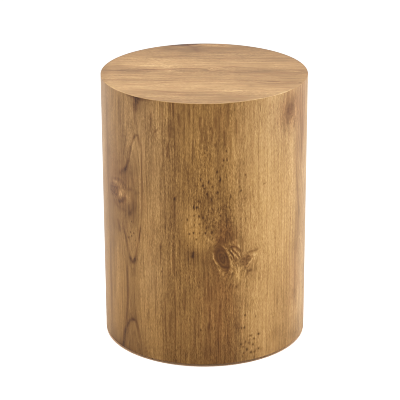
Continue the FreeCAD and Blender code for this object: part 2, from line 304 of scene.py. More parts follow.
# Ovals are (s, z, half width, half height, strength), with a tilt in degrees after them where they lean, and
# strokes are (width, strength, points), all in mm. Strengths are in hundredths: dark below 0, pale above
sideFigure = dict(
    # slow wanderings of the grain, in mm, and of the tone: (amount, stretch in s and in z, size, seed)
    bendAcross=(1.2, 1, 2, 46, 3),
    bendAlong=(2.0, 1, 1, 60, 4),
    edgeWander=(2.0, 1, 1, 30, 8),
    toneWander=[(0.035, 1, 5, 40, 5), (0.03, 1, 2, 90, 6)],
    footShade=(0.06, 110),      # painted shade at the foot: how much darker it is painted, and the height where that ends
    edgeReach=(50, 26),         # the front board's right edge: its place, and how far its wandering reaches
    boardApart=17,              # the boards' grain is taken from places this far apart
    pitDepth=1.9,
    dashesAll=0.85,             # dashes where nothing else is said
    strokeRed=2,                # dark strokes are redder by this times their strength
    # brightness along the drum, from 0 dark to 1 pale, by distance from the front; the paler rise towards
    # ±290, where the side turns away from the front view, is painted reflection
    toneAcross=[
        (-600, 0.56), (-545, 0.5), (-473, 0.46), (-467, 0.6), (-410, 0.66), (-365, 0.58), (-359, 0.4),
        (-320, 0.44), (-290, 0.58), (-268, 0.5), (-244, 0.51), (-235, 0.49), (-227, 0.42), (-212, 0.44),
        (-196, 0.45), (-178, 0.42), (-160, 0.39), (-140, 0.39), (-124, 0.43), (-118, 0.46), (-104, 0.5),
        (-84, 0.47), (-72, 0.38), (-58, 0.34), (-40, 0.38), (-20, 0.38), (0, 0.37), (20, 0.37), (36, 0.38),
        (46, 0.4), (56, 0.47), (66, 0.5), (80, 0.58), (100, 0.63), (125, 0.69), (150, 0.65), (172, 0.6),
        (190, 0.64), (199, 0.65), (204, 0.6), (225, 0.6), (245, 0.63), (262, 0.64), (290, 0.68), (330, 0.52),
        (336, 0.4), (400, 0.44), (467, 0.38), (473, 0.52), (530, 0.6), (600, 0.56),
    ],
    # the dark front board's right edge wanders: (height, how far to the right of its middle place)
    frontEdge=[
        (0, 15), (60, 18), (95, 20), (130, 16), (170, 6), (200, 0), (235, 3), (262, 7), (300, 1), (340, -2),
        (370, -5), (410, -15), (450, -10), (508, -5),
    ],
    # how strongly fibres show: smooth heartwood on the left, open and weathered at the front
    contrastAcross=[
        (-600, 0.8), (-240, 0.6), (-130, 0.7), (-110, 0.85), (-60, 1.05), (40, 1.05), (70, 0.95), (110, 0.8),
        (250, 0.65), (600, 0.8),
    ],
    # where fibres show more than that, above 0, or less, below 0
    lively=[
        (-95, 455, 26, 34, 40), (-72, 428, 14, 20, 25), (-55, 485, 10, 20, 30), (165, 450, 34, 34, 40),
        (-142, 255, 20, 12, 35), (-95, 222, 30, 16, 25), (105, 155, 18, 16, 30), (155, 84, 24, 14, 45),
        (122, 52, 26, 14, 40), (50, 34, 16, 14, 30), (-190, 405, 14, 40, 20), (-25, 482, 12, 24, -40),
        (25, 476, 12, 20, -40), (105, 395, 18, 26, -35), (120, 300, 16, 44, -40), (-95, 296, 22, 22, -25),
        (-128, 385, 18, 34, -20), (16, 168, 16, 36, -30), (-34, 58, 20, 28, -20), (225, 240, 24, 20, -35),
        (235, 118, 16, 24, -40), (-162, 150, 14, 20, -20), (185, 380, 10, 44, -35), (-205, 312, 22, 20, -40),
        (-60, 440, 12, 60, 20), (-125, 385, 24, 26, -20), (30, 400, 14, 20, -20), (15, 315, 26, 24, 25),
        (-15, 270, 26, 24, 20), (-150, 238, 40, 16, 20), (-170, 275, 20, 14, 30), (-10, 238, 40, 12, 25),
        (210, 240, 20, 18, -20), (-60, 190, 50, 22, 20), (0, 196, 10, 20, -20), (105, 160, 30, 20, 15),
        (75, 120, 30, 20, 20), (168, 90, 34, 50, 25), (-175, 80, 14, 26, 30), (-45, 80, 26, 30, -15),
        (50, 40, 30, 20, 20), (92, 40, 14, 20, 20),
    ],
    # greyer brown on the left, yellower at the front; the full grey at ±290, where the side turns away from
    # the front view, is painted reflection
    dullAcross=[
        (-600, 0.3), (-330, 0.5), (-290, 1.0), (-240, 0.6), (-180, 0.25), (-100, 0.1), (-60, 0.0), (45, 0.0),
        (60, 0.1), (180, 0.2), (220, 0.5), (262, 0.7), (290, 1.0), (330, 0.5), (600, 0.3),
    ],
    knots=[
        dict(at=(31.5, 215), wide=12.5, high=26.5, tilt=17, rings=3, dark=0.17, soft=0.2, push=1, smooth=0.8),
        dict(at=(76, 204), wide=9, high=11, tilt=-20, rings=1.6, dark=0.11, soft=0.5, push=0.8, smooth=0),
        dict(at=(-203, 313), wide=15, high=12, tilt=0, rings=2, dark=0.13, soft=0.5, push=0.8, smooth=0.7),
        dict(at=(180, 472), wide=14, high=15, tilt=0, rings=1.6, dark=0.13, soft=0.9, push=0.8, smooth=0.7),
        dict(at=(-428, 172), wide=11, high=19, tilt=-10, rings=4, dark=0.26, soft=0.12, push=1, smooth=0.6),
        dict(at=(392, 332), wide=13, high=24, tilt=8, rings=5, dark=0.26, soft=0.12, push=1, smooth=0.6),
        dict(at=(540, 96), wide=8, high=12, tilt=0, rings=3, dark=0.26, soft=0.15, push=1, smooth=0.6),
        dict(at=(-545, 392), wide=9, high=15, tilt=12, rings=3, dark=0.24, soft=0.15, push=1, smooth=0.6),
    ],
    # ring lines: each board is cut at a distance from the heart that rises and falls along it
    boards=[
        dict(left=-600, right=-470, heart=-552, deep=26, rise=30, middle=210, length=560, gap=5.0, show=0.10),
        dict(left=-470, right=-362, heart=-420, deep=30, rise=34, middle=380, length=700, gap=6.0, show=0.09),
        dict(left=-362, right=-244, heart=-330, deep=60, rise=20, middle=120, length=800, gap=5.5, show=0.07),
        dict(left=-244, right=-122, heart=-146, deep=30, rise=18, middle=311, length=361, gap=3.6, show=0.08),
        dict(left=-122, right=202, heart=-300, deep=40, rise=10, middle=100, length=900, gap=9.0, show=0.05),
        dict(left=202, right=333, heart=262, deep=34, rise=30, middle=130, length=620, gap=6.0, show=0.07),
        dict(left=333, right=470, heart=405, deep=24, rise=30, middle=330, length=520, gap=4.6, show=0.11),
        dict(left=470, right=600, heart=545, deep=30, rise=26, middle=80, length=640, gap=5.2, show=0.09),
    ],
    strokes=[
        # the left board's long island: its top, its left limb, its point, and the arch under it
        (2.4, -22, (-121, 412), (-124, 424), (-128, 435), (-134, 434), (-141, 424)),
        (1.8, -18, (-137, 432), (-143, 416), (-147, 402), (-150, 388), (-153, 376)),
        (3.2, -20, (-151, 388), (-154, 380), (-157, 373), (-160, 366), (-166, 361)),
        (4.0, -13, (-156, 370), (-164, 362), (-172, 356), (-182, 350)),
        (1.8, 12, (-134, 428), (-139, 414), (-143, 400), (-147, 386)),
        (2.4, -16, (-174, 256), (-166, 238), (-160, 222), (-156, 207), (-152, 195), (-146, 189)),
        (3.6, -24, (-154, 198), (-150, 190), (-146, 187), (-141, 191), (-138, 199)),
        (2.0, -20, (-146, 189), (-139, 197), (-135, 212), (-131, 230), (-126, 252), (-123, 275)),
        (2.6, -10, (-130, 236), (-127, 250), (-124, 264)),
        (1.6, -10, (-141, 205), (-137, 225), (-132, 245), (-129, 262)),
        (3.2, -16, (-159, 188), (-161, 160), (-160, 130), (-162, 95), (-165, 74), (-168, 54)),
        (4.4, -20, (-180, -10), (-177, 14), (-172, 36), (-165, 52)),
        (3.6, -20, (-168, 46), (-162, 58), (-155, 67), (-147, 72), (-141, 70)),
        (2.8, -14, (-148, 72), (-140, 69), (-136, 58), (-134, 46), (-131, 34)),
        (2.4, -7, (-133, 44), (-129, 26), (-125, -6)),
        (1.6, -20, (-119, 420), (-120, 380), (-120.5, 340), (-121, 300), (-122.5, 272)),
        (1.6, 10, (-124, 410), (-124, 370), (-124, 330), (-125, 290)),
        # dark streaks under the rim on the left, and a painted shadow line just under the top's edge
        (7.0, -19, (-130, 530), (-132, 504), (-132, 476)),
        (4.0, -15, (-124, 516), (-126, 505), (-129, 492)),
        # painted shadow: the line just under the top's edge
        (2.6, -19, (-160, 508), (-138, 506), (-112, 506), (-90, 508)),
        (2.0, -16, (-137, 500), (-136, 476), (-134, 452)),
        (2.6, -12, (-176, 500), (-177, 470), (-174, 440)),
        (2.2, -10, (-152, 490), (-153, 465), (-150, 440)),
        # the left board's outer half
        (4.0, -7, (-229, 480), (-227, 420), (-229, 350), (-228, 290)),
        (5.0, -10, (-223, 220), (-225, 150), (-223, 100), (-224, 30)),
        (6.0, 6, (-196, 230), (-192, 180), (-194, 130), (-190, 90)),
        # swirl round the left knot
        (4.0, -8, (-214, 326), (-200, 335), (-182, 339), (-166, 334), (-156, 327), (-147, 328)),
        (3.0, 11, (-210, 328), (-196, 331), (-182, 328), (-170, 322)),
        (3.0, 6, (-206, 336), (-192, 342), (-172, 343), (-156, 335)),
        (2.2, 14, (-172, 322), (-166, 319), (-161, 314), (-162, 308)),
        (3.8, -17, (-160, 316), (-164, 308), (-170, 302), (-178, 297), (-190, 296)),
        (3.0, -12, (-189, 326), (-186, 314), (-188, 304)),
        (4.0, -9, (-150, 322), (-142, 306), (-145, 288), (-157, 276)),
        (3.0, 10, (-153, 322), (-153, 308), (-156, 297)),
        (3.6, -7, (-205, 298), (-192, 287), (-176, 283), (-160, 287)),
        (3.4, -12, (-192, 262), (-184, 248), (-180, 234)),
        # pale and dark crescents against the central knot
        (1.7, 34, (14, 230), (15.5, 221), (17, 214), (20, 208), (24, 202), (28, 196), (31, 188)),
        (1.5, 26, (29, 241), (33, 238), (37, 234), (40, 229), (43, 222), (45, 215), (47, 207), (48, 199)),
        (1.3, -12, (36, 229), (39, 223), (41, 216), (43, 208), (43, 199), (41, 190)),
        (2.4, -10, (39, 200), (41, 194), (41, 188), (40, 183)),
        (1.6, 16, (48, 211), (49, 204), (49.5, 197), (49, 189), (48, 181)),
        (1.5, 14, (51, 205), (51, 197), (52, 189), (54, 180)),
        (2.6, 14, (25, 194), (29, 190), (33, 186), (34, 178)),
        # feathers between the two halves of the knot
        (1.8, -20, (44, 233), (50, 236), (56, 235), (62, 231), (67, 225), (71, 216)),
        (1.4, 20, (58, 241), (63, 235), (68, 226), (71, 216)),
        (1.3, 24, (52, 232), (57, 228), (62, 222), (66, 213)),
        (1.2, -20, (49, 231), (55, 225), (60, 219), (64, 211)),
        (1.4, 32, (45, 231), (50, 226), (55, 220), (60, 214), (63, 209)),
        (1.2, -22, (42, 233), (46, 227), (50, 221), (54, 213), (58, 205)),
        (1.2, 24, (43, 227), (47, 220), (51, 213), (53, 206)),
        (1.3, -22, (46, 219), (50, 212), (54, 203), (58, 192)),
        (1.4, 22, (49, 211), (53, 203), (57, 194), (60, 183)),
        (1.4, 16, (54, 213), (58, 206), (61, 198), (63, 188)),
        (1.2, -16, (57, 209), (60, 203), (63, 194)),
        (1.3, -10, (66, 233), (69, 227), (72, 221), (74, 214)),
        (1.6, 12, (72, 243), (74, 234), (75, 226), (77, 219)),
        (1.6, -12, (72, 252), (70, 246), (71, 238), (71, 230)),
        (2.6, 16, (43, 241), (49, 241), (54, 245), (58, 247), (61, 242)),
        # pale and dark feathers round the right half
        (2.0, -12, (81, 217), (85, 209), (85, 202), (81, 195), (76, 190), (70, 187)),
        (1.6, 26, (93, 212), (87, 204), (81, 197), (77, 190), (75, 182), (75, 172)),
        (2.4, 9, (86, 214), (91, 216), (96, 214), (102, 217)),
        (2.0, 14, (70, 196), (66, 190), (62, 183), (58, 172)),
        (2.2, -20, (79, 220), (86, 222), (94, 222), (104, 225)),
        (2.6, -18, (90, 186), (85, 185), (80, 182), (78, 174)),
        (1.5, -10, (88, 208), (93, 211), (97, 209)),
        (1.8, 14, (93, 214), (96, 209), (95, 202)),
        (1.6, -12, (99, 212), (100, 204), (97, 196), (93, 191)),
        (1.8, -14, (70, 190), (67, 183), (68, 176)),
        (2.0, -12, (47, 184), (52, 183), (56, 182)),
        (2.0, -10, (58, 168), (62, 158), (63, 146)),
        # long lines of the front, above the knot
        (1.6, -22, (-61, 518), (-61, 502), (-61, 484)),
        (1.8, -22, (-56, 520), (-55, 500), (-54, 474)),
        (1.3, -13, (-54, 482), (-53, 440), (-54, 384), (-53, 330)),
        (1.6, -18, (-60, 478), (-60, 458), (-61, 440)),
        (1.8, -28, (-66, 434), (-66, 418), (-67, 402)),
        (1.4, -16, (-76, 470), (-75, 425), (-76, 400)),
        (1.6, -16, (-98, 488), (-98, 472), (-99, 450)),
        (1.6, -16, (-95, 445), (-89, 451), (-83, 458)),
        (1.4, -14, (-76, 508), (-76, 492), (-75, 476)),
        (1.4, -14, (-65, 476), (-65, 458), (-66, 442)),
        (1.4, 10, (-88, 510), (-88, 480), (-87, 448)),
        (1.4, 10, (-70, 510), (-70, 480), (-69, 450)),
        (1.6, -16, (-44, 490), (-44, 476), (-43, 460)),
        (1.4, -10, (-26, 502), (-26, 484), (-25, 464)),
        (1.5, -16, (-20, 444), (-20, 425), (-21, 394)),
        (2.0, -14, (-7, 486), (-8, 472), (-9, 460)),
        (1.8, -18, (-4, 468), (-4, 452), (-5, 432)),
        (1.6, -20, (3, 470), (3, 452), (2, 426)),
        (3.0, -12, (19, 484), (20, 472), (21, 460)),
        (1.6, -16, (13, 466), (14, 454), (11, 432)),
        (1.8, -20, (34, 460), (35, 444), (36, 424)),
        (1.6, -14, (43, 516), (42, 490), (42, 454)),
        (2.2, 12, (47.5, 516), (47, 480), (46, 438)),
        (1.6, -18, (57, 478), (57, 464), (58, 448)),
        (1.4, -6, (27, 500), (26, 465), (27, 430)),
        (1.4, -12, (46, 450), (47, 420), (46, 396)),
        # and below it
        (1.5, -14, (5, 172), (6, 150), (5, 124)),
        (1.5, -12, (13, 164), (12, 146), (13, 130)),
        (1.6, -14, (9, 128), (9, 100), (7, 80), (8, 54)),
        (1.6, -15, (32, 138), (27, 112), (25, 66), (26, 10)),
        (1.5, -8, (43, 100), (42, 60), (43, 10)),
        (1.6, -14, (-55, 170), (-55, 120), (-55, 70), (-56, 20)),
        (1.5, -14, (-74, 130), (-74, 90), (-73, 40)),
        (1.4, -12, (-95, 170), (-94, 130), (-95, 80)),
        (2.0, -14, (-57, 256), (-57, 215), (-56, 176)),
        (1.6, 12, (-61, 254), (-61, 215), (-61, 184)),
        (1.4, -20, (-82, 242), (-83, 218), (-83, 190)),
        (1.6, -10, (-91, 232), (-92, 210), (-93, 194)),
        (1.2, -8, (-104, 244), (-105, 228), (-104, 212)),
        (1.8, -14, (-54, 326), (-54, 300), (-53, 260)),
        (2.4, -16, (-64, 110), (-65, 85), (-66, 50)),
        (1.3, -5, (-18, 120), (-19, 80), (-18, 40)),
        (1.3, -10, (-13, 92), (-12, 78), (-12, 58)),
        (1.6, -16, (-37, 160), (-36, 135), (-37, 106)),
        (1.3, -12, (16, 40), (17, 20), (16, -8)),
        (1.5, -16, (52, 30), (53, 15), (52, -8)),
        # edges and lines of the right
        (3.4, -13, (208, 340), (212, 310), (216, 285), (217, 255), (216, 215)),
        (2.2, -10, (204, 430), (203, 390), (205, 350), (208, 320)),
        (4.0, -9, (226, 450), (231, 420), (229, 385), (231, 350)),
        (3.0, -7, (222, 345), (228, 330), (236, 318)),
        (3.0, 10, (222, 214), (231, 205), (240, 200)),
        (6.0, -6, (206, 200), (203, 160), (208, 120), (205, 90)),
        (5.0, 7, (222, 120), (219, 90), (216, 60)),
        (2.0, 12, (196, 470), (200, 462), (198, 452)),
        # pale border of the top right knot
        (2.5, 10, (192, 486), (198, 474), (199, 462), (195, 452)),
    ],
    # pale and dark stretches that the fibres don't break up
    smoothPatches=[
        (-18, 276, 20, 34, 18, 6), (-32, 298, 10, 16, 3), (32, 214, 5, 8, -7, 15), (25, 216, 2.5, 9, 5, 15),
        (36, 237, 9, 4, -7), (46, 222, 4, 6, -6), (31, 188, 5, 6, 8), (-6, 241, 22, 9, 11, 12),
        (165, 452, 26, 20, -7), (-92, 452, 12, 22, -6), (-120, 492, 14, 16, -5), (30, 490, 10, 14, -4),
        (245, 485, 30, 20, -5), (60, 410, 9, 20, 6), (265, 410, 14, 22, -8), (265, 210, 14, 26, -7),
        (210, 212, 11, 22, -5), (-190, 345, 34, 30, -3), (-120, 330, 12, 24, -4), (-226, 120, 26, 80, 4.5),
        (120, 90, 18, 20, 5), (240, 70, 16, 34, 4), (152, 248, 18, 60, 4), (90, 10, 12, 14, -6),
        (150, 10, 14, 12, -5), (210, 10, 14, 14, -5), (-120, 10, 12, 12, -6), (30, 92, 12, 18, -4),
        (60, 236, 16, 14, -4),
        # how the bands swell and fade along the drum
        (-107, 450, 5, 50, -9), (-107, 345, 6, 24, -9), (-112, 250, 6, 10, -8), (-140, 404, 7, 28, 12),
        (-145, 484, 7, 26, 6), (-168, 430, 9, 14, -5), (-165, 394, 10, 14, -4), (-222, 425, 14, 22, 5),
        (-74, 452, 7, 46, 9), (-71, 230, 7, 52, 9), (-72, 140, 9, 16, -6), (47, 380, 7, 56, 10),
        (77, 418, 5, 14, -8), (70, 370, 4, 10, 6), (90, 362, 6, 16, 5), (12, 368, 5, 7, -9),
        (-24, 356, 7, 28, -5), (-10, 311, 5, 6, -10), (14, 306, 9, 8, -6), (-2, 275, 4, 8, 7),
        (50, 296, 5, 6, 9), (76, 305, 4, 22, 5), (108, 330, 6, 24, -4), (1, 247, 6, 4, -8),
        (-38, 231, 6, 9, -6), (-137, 228, 6, 22, 6), (-192, 243, 12, 10, -6), (55, 225, 6, 7, -7),
        (75, 188, 6, 5, -9), (94, 185, 7, 6, -6), (50, 173, 4, 7, 7), (72, 147, 8, 8, 9),
        (55, 150, 4, 10, -5), (41, 150, 4, 10, 5), (153, 207, 7, 9, 6), (196, 448, 10, 26, -8),
        (192, 492, 10, 10, -8), (142, 480, 8, 18, -6), (104, 458, 9, 14, 6), (146, 372, 14, 14, -5),
        (171, 303, 6, 14, 5), (210, 312, 22, 8, -4), (222, 260, 16, 10, -5), (194, 205, 10, 12, -4),
        (200, 120, 10, 26, -4), (222, 60, 12, 12, 6), (153, 66, 12, 12, 5), (192, 20, 14, 10, -6),
        (-222, 118, 14, 28, -6), (-148, 77, 12, 8, -8), (-128, 155, 9, 10, 5), (-146, 114, 6, 20, 4),
        (-54, 68, 10, 16, 5), (-28, 40, 5, 26, -5), (42, 22, 10, 10, 5), (62, 88, 6, 16, -5),
        (94, 112, 6, 14, -5), (82, 104, 4, 10, 5), (-158, 309, 10, 9, 12), (-168, 343, 18, 5, -7),
        (-102, 350, 4, 150, -5), (-166, 412, 12, 36, -4), (-150, 372, 7, 5, -8), (-182, 372, 14, 5, -6, 20),
        (-132, 290, 5, 34, -6), (-232, 250, 40, 36, -4), (-136, 76, 6, 10, -5), (-4, 424, 4, 14, -7),
        (14, 444, 4, 20, -6), (7, 458, 3, 10, 8), (47, 432, 4, 14, 8), (-72, 410, 5, 10, 7),
        (62, 396, 4, 12, 5), (40, 356, 10, 34, 5), (-8, 36, 6, 28, -5), (205, 262, 18, 50, -4.5),
        (194, 385, 6, 80, -5), (228, 362, 16, 20, 5), (-36, 205, 20, 12, -3), (-86, 210, 8, 30, -3),
        (-52, 345, 10, 18, -4), (-99, 430, 8, 60, -4), (-90, 360, 5, 26, -4), (-68, 450, 8, 50, 4),
        (-124, 410, 10, 26, 6), (-143, 470, 10, 36, 5), (0, 440, 26, 60, -2), (-14, 350, 18, 26, -3),
        (92, 225, 20, 6, -6), (76, 186, 6, 6, -5), (-10, 313, 6, 10, -4), (-54, 306, 5, 14, -5),
        (13, 115, 3, 40, -5), (-178, 130, 8, 80, 3.5), (-204, 68, 8, 26, 5), (-86, 160, 6, 40, -3),
        (254, 136, 18, 12, -5), (258, 45, 20, 20, -5), (104, 285, 6, 34, -4), (74, 70, 6, 50, 5),
        (60, 70, 6, 56, -8), (97, 185, 4, 4, -8), (200, 200, 12, 16, -5), (200, 100, 12, 20, -6),
        (112, 402, 12, 26, 5), (-120, 150, 10, 20, 6), (-202, 200, 14, 20, -5), (-110, 300, 7, 24, -3),
        (-88, 300, 6, 16, 4), (5, 453, 5, 10, 9), (-45, 494, 4, 12, 6), (-110, 448, 4, 30, 6),
        # (-118, 506) is painted shadow just under the top's edge
        (-118, 506, 8, 6, -6), (140, 42, 8, 14, -9), (198, 28, 14, 12, -7), (-150, 36, 8, 12, 10),
        # (-190, 4) and (-155, 5) are painted shade along the foot, and (122, 0) is painted light there
        (-54, 52, 8, 22, 7), (-190, 4, 40, 6, -7), (-155, 5, 14, 5, -6), (122, 0, 32, 4, 12),
        (56, 203, 7, 12, -10), (49, 222, 6, 10, -8), (78, 192, 6, 8, -6), (-175, 325, 10, 5, -5),
        (-162, 337, 10, 5, -5), (-132, 245, 4, 16, 7), (-76, 482, 5, 14, 7), (-94, 484, 6, 12, 8),
        (-103, 465, 4, 36, -4), (-138, 266, 6, 10, -7), (4, 244, 8, 3, -6, 10), (-7, 231, 7, 3, 7),
        (-14, 180, 4, 8, -7), (34, 174, 5, 6, -7), (60, 193, 4, 5, -7), (167, 455, 6, 5, 6),
        (192, 442, 7, 8, -6), (5, 390, 5, 8, 6), (-22, 382, 4, 8, -6), (-65, 132, 4, 14, -6),
        (-103, 146, 7, 6, -6), (108, 408, 4, 12, -5), (93, 503, 7, 8, -7), (48, 463, 4, 6, -7),
    ],
    # and those that they do break up
    patches=[
        (-178, 313, 8, 6, 30, 20), (-178, 306, 34, 30, -8), (-210, 270, 20, 60, -8), (-148, 292, 14, 20, -9),
        (-133, 325, 4, 5, -12), (-147, 329, 4, 4, -16), (-150, 282, 5, 6, -10), (-165, 357, 30, 12, -10, 20),
        (-180, 380, 22, 30, -5), (-146, 222, 10, 28, 7), (-150, 30, 19, 34, -6), (-192, 8, 30, 16, -9),
        (-146, 120, 12, 40, -3), (-120, 500, 12, 16, -6), (-152, 455, 16, 55, 9), (-122, 190, 12, 60, 5),
        (-262, 370, 16, 60, 6),
        # dark cloud over the central knot, and the pale patch beside it
        (32, 266, 24, 24, -6, 8), (49, 254, 8, 10, -8), (31, 246, 8, 9, -14), (40, 289, 5, 9, -12),
        (29, 275, 5, 8, -6), (58, 262, 5, 10, -6), (33, 312, 5, 6, -8), (-3, 300, 6, 20, -9),
        (10, 328, 14, 12, -8), (6, 275, 9, 14, -7), (63, 246, 4, 4, -8), (-27, 376, 11, 16, -7),
        (-56, 250, 10, 24, 5), (-30, 172, 12, 14, 5), (-92, 292, 14, 20, 7), (4, 30, 18, 34, -6),
        (0, 372, 14, 20, 3), (118, 320, 40, 60, 4), (66, 300, 10, 40, 4), (12, 250, 9, 7, 8),
        (-24, 224, 12, 18, -13), (-45, 245, 8, 24, -5), (4, 212, 22, 26, -7), (20, 150, 34, 50, -2),
        (0, 425, 26, 90, 9), (62, 185, 9, 20, 9), (73, 206, 13, 10, -12), (80, 214, 2.4, 2.2, -20),
        (80, 199, 3, 4, -12), (60, 214, 2.4, 3, -16), (-22, 222, 3, 5, -16), (16, 209, 2.2, 3, -12),
        (50, 180, 2.6, 2.6, -14), (29, 191, 5, 5, 6), (85, 183, 5, 3, -6), (33, 184, 2, 2.4, -10),
        (84, 184, 6, 3, -8),
        # pale zone at the right
        (185, 345, 15, 100, 13), (188, 480, 28, 26, -12), (180, 474, 12, 11, -8), (168, 454, 12, 12, -12),
        (222, 420, 12, 60, -8), (214, 150, 12, 30, 3), (150, 70, 36, 80, -6), (243, 180, 14, 50, 6),
        (240, 332, 10, 16, 8), (92, 172, 10, 14, -7), (243, 80, 14, 90, 9), (120, 300, 34, 130, 3),
    ],
    # single pin-holes and short dark pits
    pits=[
        (-14, 314, 1.6, 2.2, -34), (-31, 290, 1.3, 2.4, -22), (-20, 265, 1.3, 2, -32),
        (-27, 263, 1.2, 2, -32), (-15, 253, 1.2, 1.9, -26), (-18, 281, 1.2, 1.7, -26),
        (-9, 265, 1.1, 1.5, -24), (1, 265, 1.2, 2, -26), (2.5, 275, 1.4, 3.4, -16), (-10, 297, 1.9, 2.8, -22),
        (-3, 295, 2.2, 3, -17), (-19, 298, 1.4, 1.8, -20), (-3, 356, 1.9, 3.6, -24), (7, 362, 1.2, 2.8, -24),
        (14, 354, 1.4, 2.4, -28), (28, 366, 1.4, 5.6, -22), (22, 381, 1.4, 2.8, -24),
        (-7, 368, 1.2, 3.8, -14), (16, 368, 1.1, 2.2, -14), (12, 329, 2.4, 4.6, -12),
        (-9, 325, 2.4, 3.4, -12), (-24, 276, 1.1, 3, -12), (-17, 290, 1.2, 2.4, -14), (2, 290, 1.3, 3, -14),
        (-20, 315, 1.1, 3, -16), (14, 311, 1.2, 2, -14), (4, 296, 1.3, 3, -12), (-28, 299, 1.2, 1.6, -14),
        (32, 391, 1.2, 3, -12), (-38, 343, 1.2, 2.6, -12), (5, 338, 1.2, 5, -16), (66, 342, 1.4, 1.7, -28),
        (75, 371, 1.5, 2, -26), (76, 366, 1.2, 3, -20), (34, 403, 1.5, 2.2, -26), (40, 403, 1.4, 2.6, -28),
        (39, 419, 1.3, 2, -22), (47, 333, 1.3, 5, -18), (23, 341, 1.2, 4, -18), (-54, 328, 1.5, 4, -26),
        (114.3, 347.3, 1.6, 1.6, -42), (-19, 313, 1.2, 3.6, -18), (13, 265, 1.8, 2.6, -18),
        (-9, 283, 1.2, 2, -22), (-77, 382, 0.9, 8, -14), (-155, 233, 1.6, 2.2, -14), (-150, 245, 1.6, 2, -14),
        (142, 402, 1.6, 3, -12), (155, 375, 1.4, 6, -8), (166, 396, 2, 3.4, -7), (114, 415, 2.4, 3.6, -8),
        (106, 464, 1.4, 7, -9), (123, 477, 2.2, 2.6, -8), (125, 492, 1.8, 2.4, -8), (188, 352, 2.6, 3.6, -5),
        (152, 312, 2.4, 4, -6), (172, 345, 2, 4.6, -5), (142, 456, 2.2, 4.6, -7), (154, 446, 2.2, 5, -6),
        (131, 444, 1.6, 6, -6), (165, 436, 1.8, 5, -6), (161, 466, 3, 3, -6), (172, 449, 4, 4, -6),
        (140, 236, 1.4, 2.4, -10), (178, 322, 1.8, 7, -4), (146, 342, 1.8, 6, -4), (20, 431, 1.8, 4, -12),
        (66, 438, 1.8, 2.6, -8), (70, 392, 1.4, 2.4, -8), (-8, 74, 1.6, 2.6, -14), (7, 80, 2.2, 5, -6),
        (27, 122, 2.4, 4, -5), (-81, 184, 1.7, 1.8, -16), (-72, 272, 1.4, 6, -10), (-66, 254, 1.5, 4, -10),
        (-46, 248, 1.3, 2.4, -12), (-41, 289, 1.3, 2.2, -10), (-21, 226, 2.2, 3, -8), (-22, 219, 2, 3, -8),
        (104, 166, 1.6, 5, -12), (108, 158, 1.3, 3, -12), (91, 121, 2.4, 6, -6), (59, 157, 2, 3.4, -12),
        (82, 154, 1.6, 2.4, -8), (139, 130, 1.6, 9, -5), (106, 145, 2, 5, -5), (148, 107, 2.4, 3, -5),
        # the worm-holed corner at the foot
        (75, 97.5, 1.5, 2.2, -26), (97.5, 90.5, 1.5, 2.6, -22), (68.5, 73, 1.6, 2.4, -18),
        (74, 73, 1.8, 2.2, -22), (87, 54, 3.2, 1.8, -17), (104, 53.5, 1.9, 2.3, -36),
        (94, 46.5, 1.6, 2.4, -30), (85.5, 46, 2.2, 2, -12), (77, 43.5, 1.5, 3, -20), (68, 40, 2, 2.6, -14),
        (83.5, 40, 1.8, 2.6, -21), (92, 35, 1.6, 2.6, -30), (71.5, 34, 1.8, 2.2, -15),
        (79.5, 27.5, 1.8, 3, -26), (104, 24, 2.2, 2.3, -25), (73, 21, 1.8, 2, -18), (88, 20, 1.8, 2.6, -28),
        (95, 19.5, 2, 2, -12), (111, 22, 2.6, 2.2, -8), (71, 15, 1.8, 2.4, -13), (98, 23, 1.2, 4, -12),
        (94, 8, 1.6, 2.5, -12), (78, 12, 3, 6, -5),
    ],
    # where worm pin-holes cluster
    wormHoles=[
        (4, 335, 22, 38, 10), (-20, 230, 10, 16, 30), (-142, 240, 10, 16, 55), (300, 150, 50, 80, 30),
        (-330, 330, 50, 80, 35),
    ],
    # where the fibres break up into a mottled, cross-grained surface
    mottled=[
        (22, 285, 36, 50, 90), (70, 205, 30, 24, 90), (-16, 262, 26, 36, 15), (20, 180, 26, 22, 40),
        (-172, 312, 30, 36, 70), (180, 466, 36, 34, 60), (392, 332, 34, 50, 80), (-428, 172, 30, 44, 80),
    ],
    # where short dashes take over from long fibres: more than usual above 0, fewer below
    dashes=[
        (10, 350, 70, 110, 25), (-10, 470, 60, 50, -35), (-16, 268, 24, 34, -35), (150, 330, 60, 160, 15),
        (-180, 150, 70, 180, -25),
    ],
    # golden where above 0, reddish where below
    warmth=[
        (-14, 265, 26, 36, 35), (0, 425, 30, 90, 40), (60, 182, 12, 16, 60), (38, 262, 24, 24, -60),
        (76, 204, 14, 14, -30), (26, 110, 34, 110, -70), (14, 470, 40, 60, -40), (-190, 330, 50, 60, -60),
        (183, 474, 34, 34, -90), (230, 440, 24, 80, -60), (205, 130, 24, 60, -40),
    ],
    # duller towards the top and richer towards the foot, away from the front
    dulled=[
        (-120, 470, 60, 150, 25), (-240, 480, 40, 170, 20), (-210, 60, 60, 140, -25), (150, 490, 70, 110, 32),
        (-75, 320, 30, 160, 12), (-100, 170, 26, 60, 14),
    ],
)


